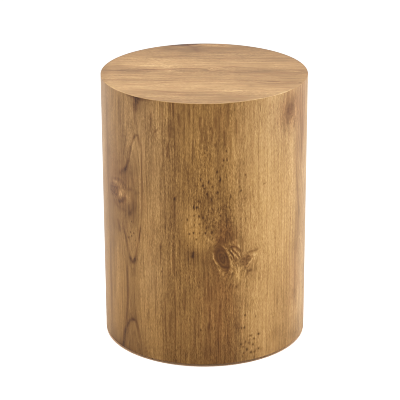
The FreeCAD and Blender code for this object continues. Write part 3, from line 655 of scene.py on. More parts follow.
def sidePattern(s, z):
    # all the printed figure's fields for points of the flat sheet, three to an attribute
    f = sideFigure
    bentS, bentZ = s + wander(s, z, *f["bendAcross"]), z + wander(s, z, *f["bendAlong"])
    across = flowRound(bentS, z, f["knots"])
    phase, show, board = ringPhase(s, z, across, f["boards"])
    knotPhase, knotDepth, fibres = knotFields(s, z, f["knots"])
    edgeAt, edgeWide = f["edgeReach"]
    edgeShift = profileAt(z, f["frontEdge"]) + wander(s, z, *f["edgeWander"])
    tone = profileAt(bentS - edgeShift * np.exp(-(((s - edgeAt) / edgeWide) ** 2)), f["toneAcross"])
    tone += sum(wander(s, z, *slow) for slow in f["toneWander"])
    # painted shade: the tone is darker towards the foot, fading out by fadeHeight
    darker, fadeHeight = f["footShade"]
    tone -= darker * ease(z, fadeHeight, 0)
    tone += patchShade(bentS, bentZ, f["smoothPatches"]) + f["pitDepth"] * patchShade(s, z, f["pits"])
    strokes = strokeShade(s, z, f["strokes"])
    shade = strokes + patchShade(bentS, bentZ, f["patches"])
    warmth = patchShade(s, z, f["warmth"]) + f["strokeRed"] * np.minimum(strokes, 0)
    dull = np.clip(profileAt(s, f["dullAcross"]) + patchShade(s, z, f["dulled"]), 0, 1)
    contrast = profileAt(s, f["contrastAcross"]) * fibres * (1 + patchShade(s, z, f["lively"]))
    return dict(
        grain=(across, z, f["boardApart"] * board),
        tone=(tone, dull, contrast),
        rings=(phase, show, patchShade(s, z, f["wormHoles"])),
        knots=(knotPhase, knotDepth, shade),
        wear=(patchShade(s, z, f["mottled"]), warmth, f["dashesAll"] + patchShade(s, z, f["dashes"])),
    )


# The top sheet's figure: x to the right and y away from the camera, mm, with the grain along x
topFigure = dict(
    bend=(2.0, 3, 1, 50, 21),
    toneWander=(0.03, 5, 1, 40, 22),
    darker=0.025,
    # the eased rim is darker at the sides and more so at the back, as painted shade, and paler at the front,
    # as a painted highlight
    rim=dict(start=186, end=190.5, sides=0.02, back=0.12, reach=190),
    wider=1.9,                  # the fibres, against the side's
    grainPlace=200,             # away from all the side's boards
    strokeStrength=0.6,
    strokeRed=6,
    dull=0.45,
    contrast=0.6,
    mottled=0.3,
    warmth=-0.1,
    toneAcross=[
        (-195, 0.55), (-165, 0.56), (-150, 0.59), (-135, 0.57), (-122, 0.61), (-110, 0.65), (-85, 0.67),
        (-66, 0.65), (-58, 0.6), (-48, 0.58), (-30, 0.61), (-14, 0.57), (-6, 0.54), (6, 0.51), (16, 0.52),
        (26, 0.57), (40, 0.64), (55, 0.63), (72, 0.59), (88, 0.555), (110, 0.52), (140, 0.47), (160, 0.48),
        (195, 0.5),
    ],
    # knots and boards are by y and then x, because y runs across the grain here
    knots=[
        dict(at=(20, 13), wide=7, high=6, tilt=0, rings=1.5, dark=0, soft=0.4, push=1, smooth=0),
        dict(at=(182, -44), wide=9, high=18, tilt=0, rings=2, dark=0.06, soft=0.5, push=1, smooth=0),
        dict(at=(12, -60), wide=4, high=4, tilt=0, rings=1, dark=0, soft=0.4, push=1, smooth=0),
    ],
    boards=[
        dict(left=-200, right=200, heart=10, deep=40, rise=40, middle=40, length=900, gap=9.0, show=0.05),
    ],
    strokes=[
        # the long dark line from the left rim to the small curl at the middle, and its branches
        (
            3.0, -18, (-188, 8), (-158, 10), (-139, 14), (-122, 12), (-105, 18), (-88, 17), (-73, 19),
            (-60, 18),
        ),
        (2.0, -18, (-72, 19), (-53, 19), (-33, 23), (-11, 21), (6, 17)),
        (2.6, -14, (-128, 14), (-112, 17), (-98, 19), (-84, 17)),
        (2.6, -10, (-189, -4), (-165, -4), (-134, 1), (-110, 8), (-88, 6)),
        (3.0, -10, (-170, 42), (-145, 39), (-128, 34), (-110, 22)),
        (3.0, 9, (-126, 45), (-98, 42), (-80, 36), (-60, 35)),
        (1.8, -12, (-68, 17), (-60, 19), (-50, 18)),
        (2.0, -16, (4, 18), (8, 9), (17, 5), (26, 9), (35, 8)),
        (1.8, 20, (19, 27), (31, 25), (42, 21), (56, 26), (70, 22)),
        (2.2, -14, (16, 37), (28, 37), (38, 32), (52, 34), (66, 34)),
        # the brown band onwards to the right rim
        (3.0, -10, (30, 9), (51, -1), (66, -7), (107, -9), (153, -9), (189, -7)),
        (4.0, -4, (80, 0), (110, -2), (150, -3), (186, -2)),
        (1.8, 24, (156, 4), (170, 1), (186, -4)),
        (2.2, -14, (154, 13), (170, 11), (187, 9)),
        # fine lines of the right
        (2.2, -18, (86, -59), (105, -69), (120, -74), (150, -77), (168, -76)),
        (1.8, -12, (108, -56), (124, -58), (150, -62), (172, -64)),
        (1.8, 12, (110, -66), (126, -68), (140, -70)),
        (1.8, -24, (112, -59), (124, -61), (138, -62)),
        (1.8, -24, (144, -65), (156, -67), (168, -67)),
        (1.8, -20, (58, -52), (70, -53), (82, -54)),
        (1.8, -18, (88, -30), (102, -31), (116, -31)),
        # fine lines of the front
        (2.0, -16, (-180, -45), (-148, -48), (-100, -50), (-72, -51), (-50, -54)),
        (2.2, -10, (-50, -60), (-20, -58), (14, -60), (50, -60)),
        (2.6, -14, (-132, -106), (-100, -110), (-79, -115), (-60, -122), (-30, -124)),
        (2.6, -10, (-40, -114), (0, -118), (18, -119), (37, -124), (59, -132)),
        (2.2, -8, (-100, -134), (-60, -137), (-20, -140)),
        (2.2, -8, (10, -150), (40, -152), (80, -150)),
        (1.8, -10, (-150, -74), (-120, -76), (-80, -74)),
        (1.8, -8, (-100, -92), (-50, -95), (0, -93)),
        # a painted highlight: the pale line along the front rim on the right
        (1.8, 20, (52, -181), (86, -168), (112, -153), (138, -130), (160, -101)),
        # the dark mark at the back rim with pale and brown folds before it
        (4.5, -60, (-68, 173), (-54, 179), (-40, 180), (-28, 180.5), (-18, 185), (-6, 189)),
        (2.8, 14, (-58, 170), (-44, 164), (-34, 168), (-26, 175), (-16, 178)),
        (3.4, -14, (-36, 176), (-28, 166), (-18, 162), (-8, 170), (2, 176)),
        (5.0, -10, (-19, 158), (-17, 148), (-13, 136), (-11, 126)),
        (3.0, 12, (-2, 176), (10, 175), (26, 171)),
        (3.0, -12, (2, 165), (24, 163), (52, 157), (84, 156)),
        (2.4, -10, (-96, 140), (-70, 146), (-50, 152), (-36, 148)),
        (2.0, -8, (-130, 96), (-90, 100), (-50, 99), (-10, 101)),
        (2.0, -8, (10, 84), (50, 88), (96, 86), (140, 89)),
    ],
    patches=[
        (-104, 46, 66, 13, 7), (-162, 38, 24, 14, -12), (-168, 56, 14, 9, -7), (-132, 26, 26, 8, -4),
        (-60, 9, 7, 4, 8), (-62, 3, 30, 7, 6), (-100, 18, 8, 5, -3), (-88, 80, 60, 12, 7),
        (-130, 92, 40, 8, 4), (140, 82, 34, 12, -7), (-14, 166, 18, 9, -3), (-74, 160, 14, 8, -4),
        (13, 21, 9, 8, 10), (58, 32, 28, 8, -6), (110, 46, 50, 12, -7), (110, -4, 60, 10, -3),
        (50, 112, 62, 11, 6), (122, -78, 50, 14, -11), (164, -76, 16, 9, -5), (158, -50, 24, 20, -5),
        (160, -28, 24, 8, -4), (173, -70, 3, 3, -22), (125, -97, 38, 12, -8), (122, -132, 36, 13, 9),
        (-80, -85, 80, 20, 1), (-90, -119, 54, 8, -6), (10, -134, 40, 9, -3), (42, -112, 34, 9, 5, -4),
        (-88, -145, 44, 9, 6), (-70, 160, 16, 12, -6), (-20, 148, 26, 24, -6), (70, 162, 30, 9, -6),
        (20, 178, 40, 7, 6), (40, -160, 46, 12, -7), (-50, -160, 40, 8, 5), (-84, 62, 12, 22, 6),
        (-66, 28, 8, 8, 3), (-78, -82, 16, 13, 6), (-165, -45, 12, 30, 6), (-110, -115, 24, 10, -5),
        (2, 14, 7, 8, -12), (12, -60, 24, 10, 4), (118, -102, 22, 18, 8), (84, -84, 7, 11, -8),
        (136, 44, 16, 14, 7), (140, -24, 26, 14, -5), (-52, -138, 12, 10, 5), (50, -115, 20, 12, 4),
        (-33, 128, 8, 12, -5), (20, 150, 30, 20, -3), (-105, 120, 14, 12, -3), (-70, 30, 45, 12, 5.5),
        (40, 24, 30, 10, 3), (-184, 36, 8, 36, -10), (-38, 172, 20, 8, -7), (90, -25, 16, 10, -5),
        (28, -84, 24, 8, -4), (40, -128, 24, 14, 4), (70, -118, 8, 12, 5), (-145, -90, 22, 10, 5),
        (-112, -150, 14, 8, -7), (150, 62, 16, 20, -4), (-92, 135, 14, 14, 4), (38, 170, 12, 8, 5),
        (-130, 22, 34, 12, 3), (-60, 26, 22, 14, 4), (-95, -48, 14, 18, 3), (-110, 93, 12, 9, -4),
        (115, 36, 9, 10, -4), (40, 130, 34, 16, -2.5),
    ],
)


def topPattern(x, y):
    # the same fields for the top, with y across the grain and x along it
    f = topFigure
    bentY = y + wander(x, y, *f["bend"])
    across = flowRound(bentY, x, f["knots"])
    phase, show, _ = ringPhase(y, x, across, f["boards"])
    knotPhase, knotDepth, _ = knotFields(y, x, f["knots"])
    tone = profileAt(across, f["toneAcross"]) - f["darker"] + wander(x, y, *f["toneWander"])
    rim = f["rim"]
    # painted shade and painted highlight on the eased rim
    tone -= ease(np.hypot(x, y), rim["start"], rim["end"]) * (rim["sides"] + rim["back"] * y / rim["reach"])
    strokes = f["strokeStrength"] * strokeShade(x, bentY, f["strokes"])
    shade = strokes + patchShade(x, bentY, f["patches"])
    warmth = f["strokeRed"] * np.minimum(strokes, 0) + f["warmth"]
    return dict(
        grain=(across / f["wider"], x, f["grainPlace"]),
        tone=(tone, f["dull"], f["contrast"]),
        rings=(phase, show, 0),
        knots=(knotPhase, knotDepth, shade),
        wear=(f["mottled"], warmth, 1),
    )


# The print's colours, dark to pale, and the tints that knots, golden and reddish places are multiplied by
woodPalette = [
    (0.00, (61, 36, 16)),
    (0.20, (97, 64, 28)),
    (0.36, (123, 88, 44)),
    (0.46, (139, 102, 54)),
    (0.61, (163, 124, 71)),
    (0.75, (182, 144, 88)),
    (0.88, (197, 162, 110)),
    (1.00, (209, 180, 133)),
]
woodTints = dict(knot=(226, 196, 190), golden=(255, 247, 222), reddish=(255, 240, 238))

# Grain layers: width across the fibres and length along them, mm, and the noise's detail and roughness
grainDepth = 3
grainLayers = dict(
    streak=(14, 700, 2, 0.6),
    band=(4.2, 260, 2, 0.6),
    fibre=(1.9, 130, 2, 0.6),
    hair=(1.4, 34, 2, 0.6),
    fleck=(1.5, 5.5, 2, 0.6),
    cloud=(13, 34, 2, 0.6),
    group=(15, 60, 2, 0.5),
    vein=(6, 190, 2, 0.5),
    veinGroup=(24, 110, 1, 0.5),
    blotch=(3.8, 5.6, 3, 0.65),
    ringWander=(9, 120, 2, 0.5),
    knotWander=(6, 6, 1, 0.5),
    longDash=(1.6, 22, 1, 0.5),
    shortDash=(1.6, 7, 1, 0.5),
    hue=(5, 26, 3, 0.7),
)
# the layer's value where each of these masks is 0 and where it is 1
maskSteps = dict(group=(-0.16, 0.2), veinGroup=(-0.02, 0.16), longDash=(0.12, 0.24), shortDash=(0.14, 0.26))
# how much of each layer or mark these sums take
woodSums = dict(
    ragged=dict(hair=0.7, fleck=1.0, blotch=0.6),
    pore=dict(longDash=0.6, shortDash=0.5),
    relief=dict(fibre=0.5, hair=0.5, pore=-0.8, hole=-1.0, rings=-0.6),
    sheen=dict(fibre=0.10, pore=0.10, hole=0.2),
)
woodMarks = dict(
    fine=(0.4, 0.8),            # how much more fine fibres show in a group, and how much they show elsewhere
    vein=(0.055, 0.0),          # its layer's value at a vein's edge and at its middle
    ringLine=(0.35, 0.86),      # where in each ring the late wood starts and where it is darkest
    ringWander=1.2,
    knotWander=0.4,
    knotWave=0.26,              # how much darker a knot's rings are than the knot
    holeCell=(5.5, 9, 30),      # one pin-hole at most in each cell of this size
    holeDot=(0.34, 0.16),       # a pin-hole's edge and its full depth, by distance in its cell
    knotTint=1.2,
    dullSaturation=0.80,
    dullValue=1.02,
)


def weighed(tree, sockets, weights):
    # the sum of socket * weight over the weights' names
    return addUp(tree, [(sockets[key], weight) for key, weight in weights.items()])


def fibreTexture(tree, layer, mask, look, dashes):
    # the layers * how strongly each shows, less thin dark veins where a long noise passes through its middle
    fleck = product(tree, layer["fleck"], look["fleck"], dashes)
    fine = addUp(tree, [(layer["hair"], look["hair"]), (fleck, 1.0)])
    fine = product(tree, fine, calc(tree, "MULTIPLY_ADD", mask["group"], *woodMarks["fine"]))
    coarse = [(layer[key], look[key]) for key in ("streak", "band", "fibre", "cloud")]
    vein = stepUp(tree, calc(tree, "ABSOLUTE", layer["vein"]), *woodMarks["vein"])
    veins = product(tree, vein, mask["veinGroup"])
    return addUp(tree, coarse + [(fine, 1.0), (veins, -look["vein"])])


def pinHoles(tree, grain, density):
    # an oval dot in the cells that the density field picks
    place = stretched(tree, grain, woodMarks["holeCell"])
    cells = addNode(tree, "TexVoronoi", {"Vector": place, "Scale": 1.0})
    dot = stepUp(tree, cells.outputs["Distance"], *woodMarks["holeDot"])
    pick = addNode(tree, "SeparateColor", {0: cells.outputs["Color"]}).outputs[0]
    return product(tree, dot, calc(tree, "GREATER_THAN", density, pick))


def woodFinish(name, look):
    # value = tone + fibres * contrast + shade made ragged by the fibres + mottling, less ring lines, knot
    # rings, pores and pin-holes; the palette turns that value into a colour
    material, tree, shader = newFinish(name)
    grain = addNode(tree, "Attribute", attribute_name="grain").outputs["Vector"]
    fields = []
    for key in ("tone", "rings", "knots", "wear"):
        vector = addNode(tree, "Attribute", attribute_name=key).outputs["Vector"]
        fields.extend(addNode(tree, "SeparateXYZ", {0: vector}).outputs)
    tone, dull, contrast, phase, show, holes, knotPhase, knotDepth, shade, mottled, warmth, dashes = fields
    layer = {}
    for key, (wide, long, detail, rough) in grainLayers.items():
        layer[key] = noiseAt(tree, grain, (wide, long, grainDepth), detail, rough)
    mask = {key: stepUp(tree, layer[key], *steps) for key, steps in maskSteps.items()}

    w = woodMarks
    texture = product(tree, fibreTexture(tree, layer, mask, look, dashes), contrast)
    ragged = weighed(tree, layer, woodSums["ragged"])
    shade = product(tree, shade, calc(tree, "MULTIPLY_ADD", ragged, look["ragged"], 1.0))
    mottling = product(tree, layer["blotch"], look["blotch"], mottled)
    count = calc(tree, "MULTIPLY_ADD", layer["ringWander"], w["ringWander"], phase)
    rings = product(tree, ringLine(tree, count, *w["ringLine"]), show)
    turn = calc(tree, "MULTIPLY_ADD", layer["knotWander"], w["knotWander"], knotPhase)
    wave = calc(tree, "COSINE", product(tree, turn, 2 * math.pi))
    knotRings = product(tree, calc(tree, "MULTIPLY_ADD", wave, w["knotWave"], 1.0), knotDepth)
    # pores are dark dashes in loose groups, each a peak of a noise drawn out along the fibres
    pore = product(tree, weighed(tree, mask, woodSums["pore"]), mask["group"], contrast)
    hole = pinHoles(tree, grain, holes)

    light = [(tone, 1.0), (texture, 1.0), (shade, 1.0), (mottling, 1.0)]
    dark = [(rings, -1.0), (knotRings, -1.0), (pore, -look["pore"]), (hole, -look["hole"])]
    colour = rampOf(tree, addUp(tree, light + dark), woodPalette)
    greyed = {"Color": colour, "Saturation": w["dullSaturation"], "Value": w["dullValue"]}
    colour = mixed(tree, dull, colour, addNode(tree, "HueSaturation", greyed).outputs[0])
    warmth = calc(tree, "MULTIPLY_ADD", layer["hue"], look["hue"], warmth)
    knotRed = product(tree, knotDepth, w["knotTint"])
    tints = dict(knot=knotRed, golden=warmth, reddish=product(tree, warmth, -1.0))
    for tint, strength in tints.items():
        colour = mixed(tree, strength, colour, linear(woodTints[tint]), "MULTIPLY")
    tree.links.new(colour, shader.inputs["Base Color"])

    marks = dict(layer, pore=pore, hole=hole, rings=rings)
    roughen(tree, shader, weighed(tree, marks, woodSums["relief"]), look["relief"] * mm)
    sheen = calc(tree, "ADD", weighed(tree, marks, woodSums["sheen"]), look["roughness"])
    tree.links.new(sheen, shader.inputs["Roughness"])
    shader.inputs["Specular IOR Level"].default_value = look["specular"]
    return material


# Surfaces from grids
def makeMesh(name, points, faces, corners, flatFaces):
    # one mesh from vertices, faces and one bake coordinate for each face corner; flatFaces aren't smoothed
    mesh = bpy.data.meshes.new(name)
    mesh.from_pydata(points.tolist(), [], faces)
    smooth = np.ones(len(faces), bool)
    smooth[flatFaces] = False
    mesh.polygons.foreach_set("use_smooth", smooth)
    layer = mesh.uv_layers.new(name="OFBake")
    layer.data.foreach_set("uv", np.asarray(corners, np.float32).ravel())
    mesh.update()
    piece = bpy.data.objects.new(name, mesh)
    bpy.context.scene.collection.objects.link(piece)
    return piece


def giveFields(piece, fields):
    # each attribute holds three of the figure's fields as one vector on every point
    for name, parts in fields.items():
        values = np.stack(np.broadcast_arrays(*parts), -1)
        attribute = piece.data.attributes.new(name, "FLOAT_VECTOR", "POINT")
        attribute.data.foreach_set("vector", values.astype(np.float32).ravel())


def faceCorners(left, low, right, high):
    # bake coordinates of upright rectangles, round each one from its low left corner
    return np.stack(np.broadcast_arrays(left, low, right, low, right, high, left, high), -1).reshape(-1, 2)


def spread(stops):
    # points along a line whose spacing changes: each stop is (place, spacing up to it)
    line = [np.array([stops[0][0]])]
    for (start, _), (end, step) in zip(stops[:-1], stops[1:]):
        line.append(np.linspace(start, end, max(2, round((end - start) / step) + 1))[1:])
    return np.concatenate(line)


sideWrap = dict(
    thickness=0.8,
    seam=0.3,
    edge=0.12,              # the trimmed edge's tiny bevel
    # the grid's stops in mm, as (place, spacing up to it), and the spacing of its last stretch
    columns=[(-290, 9), (-225, 3.4), (-115, 2.5), (-36, 1.7), (106, 1.3), (290, 3.4)],
    lastColumns=9,
    rows=[(108, 1.5), (165, 3.2), (262, 1.15), (385, 1.9)],
    lastRows=3.4,
    # the bake square: how wide the strip lies, the outer face's foot and height, (from, to) up it for the
    # rim, the inner face and the foot, and the two seam faces' places across it and their width
    bake=dict(
        wide=0.99, face=(0.12, 0.87), rim=(0.993, 0.997), inside=(0.10, 0.01), foot=(0.105, 0.115),
        seams=(0.992, 0.996), seamWide=0.002,
    ),
    look=dict(
        streak=0.20, band=0.14, fibre=0.30, hair=0.33, fleck=0.64, cloud=0.18, vein=0.07, blotch=0.95,
        pore=0.20, hole=0.34, hue=1.6, ragged=2.6, relief=0.05, roughness=0.55, specular=0.15,
    ),
)


def wrapCorners(b, columns, radius, height):
    # the outer face fills most of the bake square, and the edges, inner face and seam faces take strips of it
    start, tall = b["face"]
    along = b["wide"] * (columns - columns[0]) / (columns[-1] - columns[0])
    bottom, top = height[0], height[-2]
    outer = start + tall * (height[1:-3] - bottom) / (top - bottom)
    outer = np.concatenate([b["foot"][1:], outer, b["rim"][:1]])
    lows, highs = zip(b["rim"], b["inside"], b["foot"])
    low, high = np.concatenate([outer[:-1], lows]), np.concatenate([outer[1:], highs])
    corners = [faceCorners(along[:-1, None], low, along[1:, None], high)]
    across = b["seamWide"] * (radius - radius.min()) / (radius.max() - radius.min())
    for place, order in zip(b["seams"], (1, -1)):
        corners.append(np.stack([place + across, start + tall * height / top], -1)[::order])
    return np.vstack(corners)


def buildSideWrap(w):
    # a strip rolled round the drum: for each step round it, one closed outline goes up the outer face, over
    # the top edge, down the inner face and back under. x = r sin(s / R), y = -r cos(s / R)
    low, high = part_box("side_laminate")
    bottom, top = low.z / mm, high.z / mm
    half = math.pi * tableRadius - w["seam"] / 2
    columns = spread([(-half, 0)] + w["columns"] + [(half, w["lastColumns"])])
    rows = spread([(bottom + w["edge"], 0)] + w["rows"] + [(top - w["edge"], w["lastRows"])])
    inner, trimmed = tableRadius - w["thickness"], tableRadius - w["edge"]
    radius = np.concatenate([[trimmed], np.full(len(rows), tableRadius), [trimmed, inner, inner]])
    height = np.concatenate([[bottom], rows, [top, top, bottom]])
    s, z = np.meshgrid(columns, height, indexing="ij")
    turn = s / tableRadius
    points = np.stack([radius * np.sin(turn), -radius * np.cos(turn), z], -1).reshape(-1, 3) * mm
    n, m = s.shape
    number = np.arange(n * m).reshape(n, m)
    onward = np.roll(number, -1, 1)
    quads = np.stack([number[:-1], number[1:], onward[1:], onward[:-1]], -1).reshape(-1, 4)
    faces = quads.tolist() + [number[0].tolist(), number[-1][::-1].tolist()]
    flat = np.append(number[:-1, m - 3 :], [len(quads), len(quads) + 1])
    piece = makeMesh("side_wrap", points, faces, wrapCorners(w["bake"], columns, radius, height), flat)
    giveFields(piece, sidePattern(s, z))
    piece.data.materials.append(woodFinish("side wood print", w["look"]))
    return piece


sideWrapPiece = buildSideWrap(sideWrap)
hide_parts("side_laminate")
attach(sideWrapPiece, "root")
print("side wrap built:", len(sideWrapPiece.data.polygons), "faces")


topSheet = dict(
    cells=176,              # grid cells from rim to rim
    ease=0.4,               # the eased rim's radius
    easeSteps=4,
    # the bake square: (middle, radius) of the face and the underside, and the rim's strips under them
    bake=dict(
        face=((0.37, 0.62), 0.36), under=((0.87, 0.30), 0.11),
        stripWide=0.98, stripFoot=0.02, stripStep=0.01, stripTall=0.008,
    ),
    look=dict(
        streak=0.10, band=0.12, fibre=0.34, hair=0.50, fleck=0.34, cloud=0.22, vein=0.06, blotch=0.4,
        pore=0.14, hole=0.3, hue=1.6, ragged=2.6, relief=0.04, roughness=0.52, specular=0.19,
    ),
)


def sheetCorners(b, disc, quads, rim, strips):
    # the face and the underside lie on the bake square as discs, and each ring of the rim as a strip
    (faceAt, faceRadius), (underAt, underRadius) = b["face"], b["under"]
    corners = [(disc * faceRadius + faceAt)[quads].reshape(-1, 2)]
    along = np.linspace(0, b["stripWide"], len(rim) + 1)
    for k in range(strips):
        foot = b["stripFoot"] + b["stripStep"] * k
        strip = faceCorners(along[:-1], foot, along[1:], foot + b["stripTall"]).reshape(-1, 4, 2)
        corners.append(np.roll(strip, 1, 1).reshape(-1, 2))
    corners.append((disc[rim] * underRadius + underAt)[::-1])
    return np.vstack(corners)


def buildTopSheet(t):
    # a square grid drawn out to a round sheet, x = u sqrt(1 - v^2 / 2) and y = v sqrt(1 - u^2 / 2), whose rim
    # turns down as a quarter circle and drops to one flat face underneath
    low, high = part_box("top_laminate")
    bottom, top = low.z / mm, high.z / mm
    line = np.linspace(-1, 1, t["cells"] + 1)
    u, v = np.meshgrid(line, line, indexing="ij")
    disc = np.stack([u * np.sqrt(1 - v**2 / 2), v * np.sqrt(1 - u**2 / 2)], -1).reshape(-1, 2)
    number = np.arange(len(disc)).reshape(u.shape)
    quads = np.stack([number[:-1, :-1], number[1:, :-1], number[1:, 1:], number[:-1, 1:]], -1).reshape(-1, 4)
    rim = np.concatenate([number[:-1, 0], number[-1, :-1], number[:0:-1, -1], number[0, :0:-1]])
    bend = np.linspace(0, np.pi / 2, t["easeSteps"] + 1)
    radius = np.append(tableRadius - t["ease"] * (1 - np.sin(bend)), tableRadius)
    height = np.append(top - t["ease"] * (1 - np.cos(bend)), bottom)
    points = [np.column_stack([disc * radius[0], np.full(len(disc), top)])]
    loops = [rim]
    for k in range(1, len(radius)):
        points.append(np.column_stack([disc[rim] * radius[k], np.full(len(rim), height[k])]))
        loops.append(len(disc) + len(rim) * (k - 1) + np.arange(len(rim)))
    walls = []
    for upper, lower in zip(loops[:-1], loops[1:]):
        walls.append(np.stack([upper, lower, np.roll(lower, -1), np.roll(upper, -1)], -1))
    faces = np.vstack([quads] + walls).tolist() + [loops[-1][::-1].tolist()]
    points = np.vstack(points)
    corners = sheetCorners(t["bake"], disc, quads, rim, len(walls))
    piece = makeMesh("top_sheet", points * mm, faces, corners, [len(faces) - 1])
    giveFields(piece, topPattern(points[:, 0], points[:, 1]))
    piece.data.materials.append(woodFinish("top wood print", t["look"]))
    return piece


topSheetPiece = buildTopSheet(topSheet)
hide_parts("top_laminate")
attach(topSheetPiece, "root")
print("top sheet built:", len(topSheetPiece.data.polygons), "faces")


# Boards, frame, fasteners and glides, which come from the solid model; they are finished by place in space
innerLooks = dict(
    # grain: (width across x, across y, along z, strength), mm. rings: (heart's x, y, spacing, strength)
    board_mdf=dict(
        colours=[(0.15, (138, 112, 84)), (0.5, (170, 142, 111)), (0.85, (192, 166, 134))],
        grain=[(0.7, 0.7, 0.7, 0.9), (2.6, 2.6, 2.6, 0.35), (34, 34, 34, 0.3)],
        roughness=0.82, sheen=0.1, relief=0.05,
    ),
    bending_plywood=dict(
        colours=[(0.15, (158, 122, 82)), (0.5, (203, 174, 137)), (0.85, (222, 198, 162))],
        grain=[(1.1, 1.1, 26, 0.5), (3.4, 3.4, 90, 0.5), (22, 22, 260, 0.5)],
        rings=(0, 0, 1.67, 0.12), roughness=0.74, sheen=0.12, relief=0.08,
    ),
    batten_softwood=dict(
        colours=[(0.1, (168, 118, 66)), (0.5, (212, 183, 144)), (0.9, (232, 208, 170))],
        grain=[(0.8, 0.8, 40, 0.35), (5, 5, 200, 0.3), (0.5, 0.5, 6, 0.25)],
        rings=(150, 60, 3.1, 0.5), roughness=0.68, sheen=0.12, relief=0.06,
    ),
    balance_laminate=dict(
        colours=[(0.2, (92, 76, 60)), (0.5, (111, 93, 75)), (0.8, (126, 107, 88))],
        grain=[(0.5, 0.5, 0.5, 0.5), (60, 1.2, 60, 0.4), (30, 30, 30, 0.3)],
        roughness=0.6, sheen=0.1, relief=0.02,
    ),
    dowel_beech=dict(
        colours=[(0.15, (170, 128, 88)), (0.5, (206, 173, 134)), (0.85, (222, 192, 156))],
        grain=[(0.35, 0.35, 2.2, 0.6), (0.8, 0.8, 14, 0.4)],
        rings=(4, 6, 1.4, 0.12), roughness=0.62, sheen=0.1, relief=0.03,
    ),
    zinc_steel=dict(
        colours=[(0.2, (182, 178, 164)), (0.5, (206, 204, 195)), (0.8, (216, 216, 212))],
        grain=[(0.25, 0.25, 0.25, 0.4), (1.8, 1.8, 1.8, 0.5), (0.12, 0.12, 3, 0.3)],
        metal=1.0, roughness=0.34, sheen=0.2, relief=0.004,
    ),
    glide_nylon=dict(
        colours=[(0.2, (70, 52, 38)), (0.5, (85, 66, 48)), (0.8, (98, 78, 60))],
        grain=[(0.4, 0.4, 0.4, 0.5), (5, 5, 5, 0.4)],
        roughness=0.46, sheen=0.15, relief=0.012,
    ),
)
innerShared = dict(
    grain=(2, 0.6),             # every grain noise's detail and roughness
    ringWander=(30, 30, 260),   # mm across x, across y and along z
    ringLine=(0.3, 0.85),
    specular=0.3,
)


def heartDistance(tree, place, x, y):
    # metres from the upright line through (x, y) mm
    heart = addNode(tree, "VectorMath", {0: place, 1: (x * mm, y * mm, 0)}, operation="SUBTRACT").outputs[0]
    flat = addNode(tree, "VectorMath", {0: heart, 1: (1, 1, 0)}, operation="MULTIPLY").outputs[0]
    return addNode(tree, "VectorMath", {0: flat}, operation="LENGTH").outputs["Value"]


def innerFinish(name, look):
    # value = 0.5 + the grain noises, less a line once every ring; the ramp turns it into a colour
    material, tree, shader = newFinish(name)
    place = addNode(tree, "TexCoord").outputs["Object"]
    shared = innerShared
    noises = []
    for *sizes, strength in look["grain"]:
        noises.append((noiseAt(tree, place, [size * mm for size in sizes], *shared["grain"]), strength))
    texture = addUp(tree, noises)
    value = calc(tree, "ADD", texture, 0.5)
    if "rings" in look:
        x, y, gap, strength = look["rings"]
        bent = noiseAt(tree, place, [size * mm for size in shared["ringWander"]])
        count = calc(tree, "MULTIPLY_ADD", heartDistance(tree, place, x, y), 1 / (gap * mm), bent)
        value = calc(tree, "MULTIPLY_ADD", ringLine(tree, count, *shared["ringLine"]), -strength, value)
    tree.links.new(rampOf(tree, value, look["colours"]), shader.inputs["Base Color"])
    shine = calc(tree, "MULTIPLY_ADD", texture, -look["sheen"], look["roughness"])
    tree.links.new(shine, shader.inputs["Roughness"])
    roughen(tree, shader, texture, look["relief"] * mm)
    shader.inputs["Metallic"].default_value = look.get("metal", 0.0)
    shader.inputs["Specular IOR Level"].default_value = shared["specular"]
    return material


def dressInner(looks):
    finishes = {slot: innerFinish(slot.replace("_", " "), look) for slot, look in looks.items()}
    for part in frame["record"]["subparts"]:
        piece, finish = frame["nodes"].get(part["node"]), finishes.get(part["material_slot"])
        if piece and finish:
            piece.data.materials.clear()
            piece.data.materials.append(finish)


dressInner(innerLooks)
print("inner pieces finished:", len(innerLooks), "materials")


# Floor and light
studio = dict(
    floorRadius=9.0,
    floorSides=96,
    floorColours=[(253, 253, 252), (248, 248, 247)],
    floorClouds=0.6,
    floorRoughness=0.7,
    floorSpecular=0.2,
    # what the camera sees of the floor: 1 + lift - drop * near^power + rise * far, where near and far go
    # from 0 to 1 between these distances from the middle, in metres
    seen=dict(lift=0.45, drop=0.8, power=0.25, near=(0.19, 0.61), rise=0.1, far=(1.1, 2.4)),
    # painted shade for the floor seen in the gap under the drum, and the distances over which it comes in
    paintedShadeUnderDrum=(226, 190, 156),
    paintedShadeReach=(0.191, 0.189),
    sky=1.2,
    pixelBlur=0.9,                    # as crisp as the photograph
    middle=(0.0, 0.0, 0.25),          # every lamp faces this point
    lamps=[
        # name, place, width and height in metres, watts
        ("overhead", (0.2, -0.3, 2.9), 2.6, 2.6, 28.6),
        ("left side", (-2.3, 0.9, 1.1), 1.2, 2.0, 26),
        ("right side", (2.3, 0.9, 1.1), 1.2, 2.0, 26),
    ],
)


def addLamp(name, place, width, height, watts, target):
    lamp = bpy.data.lights.new(name, "AREA")
    lamp.shape = "RECTANGLE"
    lamp.size = width
    lamp.size_y = height
    lamp.energy = watts
    holder = bpy.data.objects.new(name, lamp)
    holder.location = place
    holder.rotation_euler = (Vector(target) - Vector(place)).to_track_quat("-Z", "Y").to_euler()
    bpy.context.scene.collection.objects.link(holder)


def between(tree, value, limits):
    # 0 at the first limit, 1 at the second, straight between
    inputs = {"Value": value, "From Min": limits[0], "From Max": limits[1]}
    return addNode(tree, "MapRange", inputs).outputs[0]


